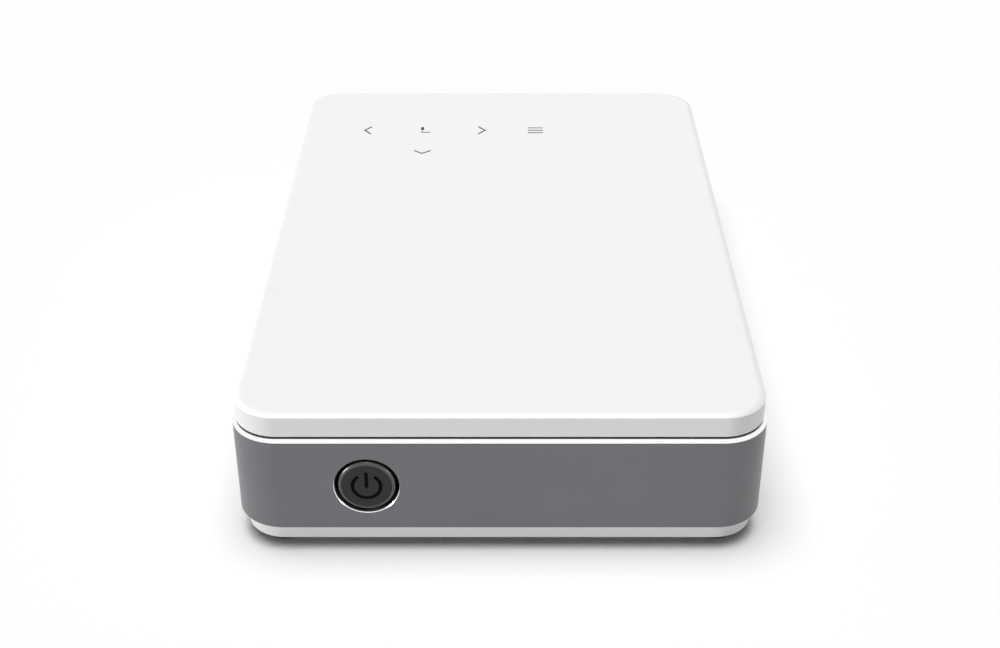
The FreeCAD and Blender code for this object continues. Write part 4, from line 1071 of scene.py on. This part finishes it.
def make_foam_strip():
    """Filter: a rounded section carried along the intake, its skin sunk by crossed sine waves into pores.

    Each wave sways with the other direction by its (reach, rate), so that the pores don't line up.
    """
    low, high = corners_of("intake_filter")
    size = high - low
    section = evenly(rounded_rectangle(size[2], size[0], size[0] / 3, 4), foam_grid[1])
    length = np.linspace(low[1], high[1], foam_grid[0])[:, None]
    phase = section[None, :, 0] * 2 * math.pi / foam_cell
    around = np.sin(phase + foam_sway_around[0] * np.sin(length / foam_cell * foam_sway_around[1]))
    sway = foam_sway_along[0] * np.sin(phase * foam_sway_along[1])
    wave = around * np.sin(length * 2 * math.pi / foam_cell + sway)
    sink = 1 - foam_pore * (1 + wave) / size[0]
    across = np.stack([np.broadcast_to(section[None, :, 0], wave.shape), section[None, :, 1] * sink], axis=-1)
    place = np.broadcast_to(length, wave.shape)
    strip = grid_form(placed(across + across_of("y", (low + high) / 2), place, "y"))
    piece("foam_strip", strip, "housing", "foam", ["intake_filter"])


# ---- Sockets ----
socket_shell = 0.4 * MM
socket_back = 2.0 * MM
socket_bend = 0.5 * MM
bend_share = 0.45
video_corner = 1.4 * MM
tongue_thickness = 1.4 * MM
tongue_side_gap = 0.8 * MM
contact_pitch = 1.0 * MM
contact_width = 0.45 * MM
contact_lift = 0.05 * MM
dc_bore_radius = 2.85 * MM
dc_bore_depth = 9.5 * MM
dc_pin_radius = 1.0 * MM
audio_bore_radius = 1.8 * MM
audio_bore_depth = 11.0 * MM
mouth_chamfer = 0.35 * MM


def make_shell_port(name, node, corner):
    """Formed metal shell with rounded bends, a moulded tongue in it, and rows of gilt contacts on that."""
    low, high = corners_of(node)
    centre = middle(node)
    half = (high - low) / 2
    corners = [(half[1], half[2]), (-half[1], half[2]), (-half[1], corner - half[2])]
    corners += [(corner - half[1], -half[2]), (half[1] - corner, -half[2]), (half[1], corner - half[2])]
    outline = softened(corners, min(socket_bend, corner * bend_share))
    root = low[0] + socket_back
    tip = high[0] - socket_back
    rows = [(0, low[0]), (0, high[0] - socket_shell / 2), (socket_shell / 2, high[0])]
    rows += [(socket_shell, high[0] - socket_shell / 2), (socket_shell, root)]
    width = (half[1] - socket_shell - video_corner - tongue_side_gap) * 2
    tongue = rounded_rectangle(width, tongue_thickness, tongue_thickness / 4, 3)
    forms = [layered(outline, rows, "x", centre)]
    forms += [layered(tongue, [(0, root), (0, tip - edge_break), (edge_break, tip)], "x", centre, finish=1)]
    count = int((width - contact_width) / contact_pitch)
    for y in centre[1] + spaced(count, contact_pitch):
        for face in (centre[2] - tongue_thickness / 2, centre[2] + tongue_thickness / 2):
            start = (root, y - contact_width / 2, face - contact_lift)
            end = (tip - contact_width, y + contact_width / 2, face + contact_lift)
            forms.append(box_form(start, end, 2))
    piece(name, together(forms), "housing", "tinned_shell", [node], [FINISH["dark_plastic"], GOLD])


def make_round_port(name, node, nose, bore, depth):
    """Moulded block with a round nose, bored from the front, with a chamfered mouth."""
    low, high = corners_of(node)
    centre = (low + high) / 2
    size = high - low
    inner = half_x - band_wall - port_gap
    block = extruded(rounded_rectangle(size[1], size[2], socket_bend, 4), "x", low[0], inner, centre)
    barrel = [(nose, inner - nose), (nose, high[0] - edge_break), (nose - edge_break, high[0])]
    hole = [(bore, high[0] - depth), (bore, high[0] - mouth_chamfer), (bore + mouth_chamfer, high[0])]
    hole += [(bore + mouth_chamfer, high[0] + mouth_chamfer)]
    piece(name, block, "housing", "dark_plastic", [node], joins=[revolved(barrel, "x", centre)],
          cuts=[revolved(hole, "x", centre)])


def make_power_port():
    """Power inlet and its round-tipped centre pin."""
    make_round_port("power_port", "dc_inlet", dc_nose_radius, dc_bore_radius, dc_bore_depth)
    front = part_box("dc_inlet")[1][0]
    shoulder = front - socket_back - dc_pin_radius
    rows = [(dc_pin_radius, front - dc_bore_depth)] + arc(0, shoulder, dc_pin_radius, 0, 80)
    piece("power_pin", revolved(rows, "x", middle("dc_inlet")), "housing", "tinned_shell")


def make_sound_port():
    """Headphone socket and its contact sleeve."""
    make_round_port("sound_port", "audio_jack", audio_nose_radius, audio_bore_radius, audio_bore_depth)
    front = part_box("audio_jack")[1][0]
    thin = socket_shell / 2
    root = front - audio_bore_depth + thin
    lip = front - mouth_chamfer * 2
    rows = [(audio_bore_radius, root), (audio_bore_radius, lip), (audio_bore_radius - thin, lip)]
    rows += [(audio_bore_radius - thin, root)]
    piece("sound_contact", revolved(rows, "x", middle("audio_jack"), loop=True), "housing", "tinned_shell")


# ---- Underside ----
thread_pitch = 1.27 * MM
thread_depth = 0.62 * MM
thread_rows = 12
thread_flat = 1.3
thread_flank = 1.6
tripod_radius = 3.175 * MM
stem_radius = 2.5 * MM
stem_pitch = 1.5 * MM
stem_thread = 0.35 * MM
stem_flat = 2.0 * MM
wheel_thickness = 3.2 * MM
neck_reach = 4.25 * MM
wheel_teeth = 44
wheel_tooth = 0.35 * MM
wheel_soft = 0.35 * MM
wheel_groove = (5.3 * MM, 7.1 * MM, 0.35 * MM)
pad_soft = 0.3 * MM
pad_grooves = 3
speaker_recess = 1.8 * MM
cone_radius = 10.0 * MM
roll_width = 2.2 * MM
cap_radius = 4.0 * MM


def helix(angle, place, pitch):
    """Flat-topped wave, 0 to 1, that climbs one pitch for each turn."""
    step = np.mod(place / pitch - angle / (2 * math.pi), 1.0)
    return np.clip(thread_flat - np.abs(2 * step - 1) * thread_flank, 0, 1)


def make_tripod_socket():
    """Brass insert whose bore carries a helical thread, run out at both ends."""
    low, high = corners_of("tripod_insert")
    outer = half_width("tripod_insert", 0)
    mouth = tripod_radius + edge_break * 2

    def threaded(angle, radius, place):
        ends = np.clip(np.minimum(place - low[2], high[2] - place) / thread_pitch, 0, 1)
        cut = np.where(radius < tripod_radius + edge_break, thread_depth, 0)
        return radius - cut * ends * helix(angle, place, thread_pitch), place

    count = int((high[2] - low[2]) / thread_pitch * thread_rows)
    ends = (high[2] - edge_break, low[2] + edge_break)
    rows = [(outer, low[2] + edge_break), (outer, high[2]), (mouth, high[2])]
    rows += [(tripod_radius, place) for place in np.linspace(*ends, count)]
    rows += [(mouth, low[2]), (outer - edge_break, low[2])]
    insert = revolved(rows, "z", (low + high) / 2, loop=True, ripple=threaded)
    piece("tripod_socket", insert, "housing", "brass", ["tripod_insert"])


def make_thumb_wheel():
    """Elevator wheel: rounded rim with teeth, a shallow groove below, and its neck, turned about the stem."""
    low, high = corners_of("tilt_wheel")
    rim = half_width("tilt_wheel", 0)
    top = low[2] + wheel_thickness
    bore = stem_radius + running_fit
    inside, outside, groove = wheel_groove
    sunk = low[2] + groove

    def toothed(angle, radius, place):
        wave = np.abs(np.mod(angle * wheel_teeth / (2 * math.pi), 1.0) * 2 - 1)
        return np.where(radius > rim - wheel_soft, radius - wheel_tooth * wave, radius), place

    rows = arc(rim - wheel_soft, low[2] + wheel_soft, wheel_soft, -90, 0, 4)
    rows += arc(rim - wheel_soft, top - wheel_soft, wheel_soft, 0, 90, 4)
    rows += [(neck_reach, top), (neck_reach, high[2]), (bore, high[2]), (bore, low[2]), (inside, low[2])]
    rows += [(inside + edge_break, sunk), (outside - edge_break, sunk), (outside, low[2])]
    wheel = revolved(rows, "z", (low + high) / 2, loop=True, steps=wheel_teeth * 8, ripple=toothed)
    piece("thumb_wheel", wheel, "elevator_wheel", "grey_plastic", ["tilt_wheel"])


def make_lift_screw():
    """Elevator stem: a helical thread, cut off flat on two sides at a fixed distance from the axis."""
    low, high = corners_of("tilt_stem")

    def flatted(angle, radius, place):
        ends = np.clip((high[2] - place) / stem_pitch * 2, 0, 1)
        turned = radius - stem_thread * (1 - ends * helix(angle, place, stem_pitch))
        return np.minimum(turned, stem_flat / np.maximum(np.abs(np.sin(angle)), 1e-6)), place

    count = int((high[2] - low[2]) / stem_pitch * thread_rows)
    rows = [(stem_radius, place) for place in np.linspace(low[2], high[2], count)]
    stem = revolved(rows, "z", (low + high) / 2, ripple=flatted)
    piece("lift_screw", stem, "elevator_stem", "brass", ["tilt_stem"])


def make_lift_pad():
    """Rubber pad of the elevator: rounded edges and ring grooves below, turned about the stem."""
    low, high = corners_of("tilt_pad")
    radius = half_width("tilt_pad", 0)
    groove = low[2] + pad_soft / 2
    rows = []
    for index in range(1, pad_grooves + 1):
        at = radius * index / (pad_grooves + 1)
        rows += [(at - pad_soft, low[2]), (at - pad_soft / 2, groove), (at, groove)]
        rows += [(at + pad_soft / 2, low[2])]
    rows += arc(radius - pad_soft, low[2] + pad_soft, pad_soft, -90, 0)
    rows += arc(radius - pad_soft, high[2] - pad_soft, pad_soft, 0, 90)
    piece("lift_pad", revolved(rows, "z", (low + high) / 2), "elevator_stem", "foot_rubber", ["tilt_pad"])


def make_speaker_cone():
    """Diaphragm under the basket: a domed cap, a cone and a half-round roll, turned about its axis."""
    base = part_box("speaker")[0][2]
    rest = base + speaker_recess / 2
    bulge = speaker_recess / 3
    foot = rest - bulge / 2
    reach = np.linspace(0.05, 1, 9)
    rows = list(zip(cap_radius * reach, rest - bulge * (1 - reach ** 2))) + [(cone_radius - roll_width, foot)]
    turn = np.linspace(0, math.pi, 9)[1:]
    halfway = cone_radius - roll_width / 2
    rows += list(zip(halfway - roll_width / 2 * np.cos(turn), foot - bulge * np.sin(turn) / 2))
    rows += [(cone_radius, base + speaker_recess)]
    piece("speaker_cone", revolved(rows, "z", middle("speaker")), "housing", "ceramic")


# ---- Screws ----
screw_thread = 0.14 * MM
screw_pitch = 0.6 * MM
screw_rows = 6
screw_steps = 48
screw_point = 0.3
head_rim = 0.35
recess_length = 0.62
recess_width = 0.22
recess_depth = 0.55


def screw_form(spot, seat, head, shank, up):
    """A screw along Z: pointed, helically threaded shank and domed head. head and shank are (radius,
    length); up is 1 where the head is above the seat and -1 where it is below."""
    head_radius, head_height = head
    shank_radius, length = shank
    tip = -length
    count = int(length / screw_pitch * screw_rows)
    rows = [(shank_radius * screw_point, tip)]
    rows += [(shank_radius, place) for place in np.linspace(tip + shank_radius, -screw_pitch / 2, count)]
    rows += [(shank_radius, 0), (head_radius, 0), (head_radius, head_height * head_rim)]
    turn = np.linspace(0, math.pi / 2, 7)[1:-1]
    rows += list(zip(head_radius * np.cos(turn), head_height * (head_rim + (1 - head_rim) * np.sin(turn))))

    def threaded(angle, radius, place):
        depth = (place - seat) * up
        cut = np.where((depth > tip + shank_radius / 2) & (depth < -screw_pitch / 2), screw_thread, 0)
        return radius - cut * (1 - helix(angle, place, screw_pitch)), place

    rows = [(radius, seat + up * place) for radius, place in rows][::up]
    return revolved(rows, "z", (*spot, 0), steps=screw_steps, ripple=threaded)


def cross_recess(spot, seat, head, up):
    """Cutters of a cross recess: two crossed bars sunk into the head."""
    radius, height = head
    ends = sorted((seat + up * height * (1 - recess_depth), seat + up * height * 1.5))
    long = radius * recess_length
    wide = radius * recess_width / 2
    return [box_form((spot[0] - a, spot[1] - b, ends[0]), (spot[0] + a, spot[1] + b, ends[1]))
            for a, b in ((long, wide), (wide, long))]


def make_screws(name, node, places, head, shank, up):
    """One piece with all the screws of a kind, from their (spot, seat height) places."""
    screws = [screw_form(spot, seat, head, shank, up) for spot, seat in places]
    cuts = [bar for spot, seat in places for bar in cross_recess(spot, seat, head, up)]
    piece(name, together(screws), "housing", "steel_screw", [node], cuts=cuts)


# ---- Making the object ----
make_top_shell()
make_band_ring()
make_base_tray()
make_foot_pads()
make_button_cap()
make_lens_trim()
make_focus_grip()
make_lens_tube()
make_front_glass()
make_remote_window()
make_fan_impeller("a")
make_fan_impeller("b")
make_foam_strip()
make_shell_port("video_port", "video_socket", video_corner)
make_shell_port("data_port", "data_socket", socket_shell)
make_power_port()
make_sound_port()
make_tripod_socket()
make_thumb_wheel()
make_lift_screw()
make_lift_pad()
make_speaker_cone()
post_seats = [(spot, z_axis - post_seat) for spot in corner_spots()]
make_screws("case_screws", "housing_screws", post_seats, long_screw_head, long_screw_shank, -1)
seats = [(spot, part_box("main_board")[1][2]) for spot in board_spots()]
seats += [(spot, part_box("engine_housing")[0][2] + lug_thickness) for spot in lug_spots()]
make_screws("board_screws", "small_screws", seats, small_screw_head, small_screw_shank, 1)


# ---- Stage ----
floor_half = 12.0
floor_mottle = 0.4
floor_bounce = 0.74
world_light = 0.08
SOFTBOXES = [
    ("overhead", 2.87, 46.0, 215.0, 87.0, False),
    ("left_side", 2.0, 16.0, 200.0, 11.0, True),
    ("right_side", 0.4, 16.0, 334.0, 11.0, True),
]
camera_lens = 55.28
camera_place = (0.00004, -0.31424, 0.19762)
camera_tilt = math.radians(58.48)


def make_floor():
    """White floor that keeps the shadow and throws back a little less light than it shows."""
    mesh = bpy.data.meshes.new("floor")
    mesh.from_pydata([(x * floor_half, y * floor_half, 0) for x, y in QUADRANTS], [], [(0, 1, 2, 3)])
    surface = Surface("floor_paper", {"Roughness": 1.0, "Specular IOR Level": 0.0})
    paper = surface.blend(surface.noise(floor_mottle), (0.99, 0.99, 0.99, 1), (1.0, 1.0, 1.0, 1))
    dim = (floor_bounce, floor_bounce, floor_bounce, 1)
    surface.shade("Base Color", surface.blend(surface.looks(), dim, paper))
    mesh.materials.append(surface.material)
    floor = bpy.data.objects.new("floor", mesh)
    bpy.context.scene.collection.objects.link(floor)
    floor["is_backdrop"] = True


def make_world():
    """Soft even light, and plain white where the camera, a mirror or glass looks past the floor."""
    world = bpy.data.worlds.new("studio")
    world.use_nodes = True
    bpy.context.scene.world = world
    sky = Nodes(world.node_tree)
    background = sky.tree.nodes["Background"]
    sky.put(background.inputs["Color"], (1, 1, 1, 1))
    level = sky.add("ShaderNodeMix", {}, {0: sky.looks(), 2: world_light, 3: 1.0})
    sky.put(background.inputs["Strength"], level)


def make_lamps():
    """Soft lamps: strength, spread, the compass angle each comes from (+X is 0), its height angle, and
    whether it lights the object alone, so that a low lamp throws no long shadow over the floor."""
    lit = bpy.data.collections.new("lit_by_side_lamps")
    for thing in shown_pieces():
        lit.objects.link(thing)
    for name, strength, spread, heading, rise, object_only in SOFTBOXES:
        data = bpy.data.lights.new(name, "SUN")
        data.energy = strength
        data.angle = math.radians(spread)
        lamp = bpy.data.objects.new(name, data)
        lamp.rotation_euler = (math.radians(90 - rise), 0, math.radians(heading + 90))
        if object_only:
            lamp.light_linking.receiver_collection = lit
        bpy.context.scene.collection.objects.link(lamp)


def make_camera():
    """Camera over the near short side, looking down along the body."""
    data = bpy.data.cameras.new("camera")
    data.sensor_width = 36.0
    data.lens = camera_lens
    data.clip_start = 0.01
    camera = bpy.data.objects.new("camera", data)
    camera.location = camera_place
    camera.rotation_euler = (camera_tilt, 0, 0)
    bpy.context.scene.collection.objects.link(camera)
    bpy.context.scene.camera = camera


make_floor()
make_world()
make_lamps()
make_camera()
bpy.context.scene.view_settings.view_transform = "Standard"
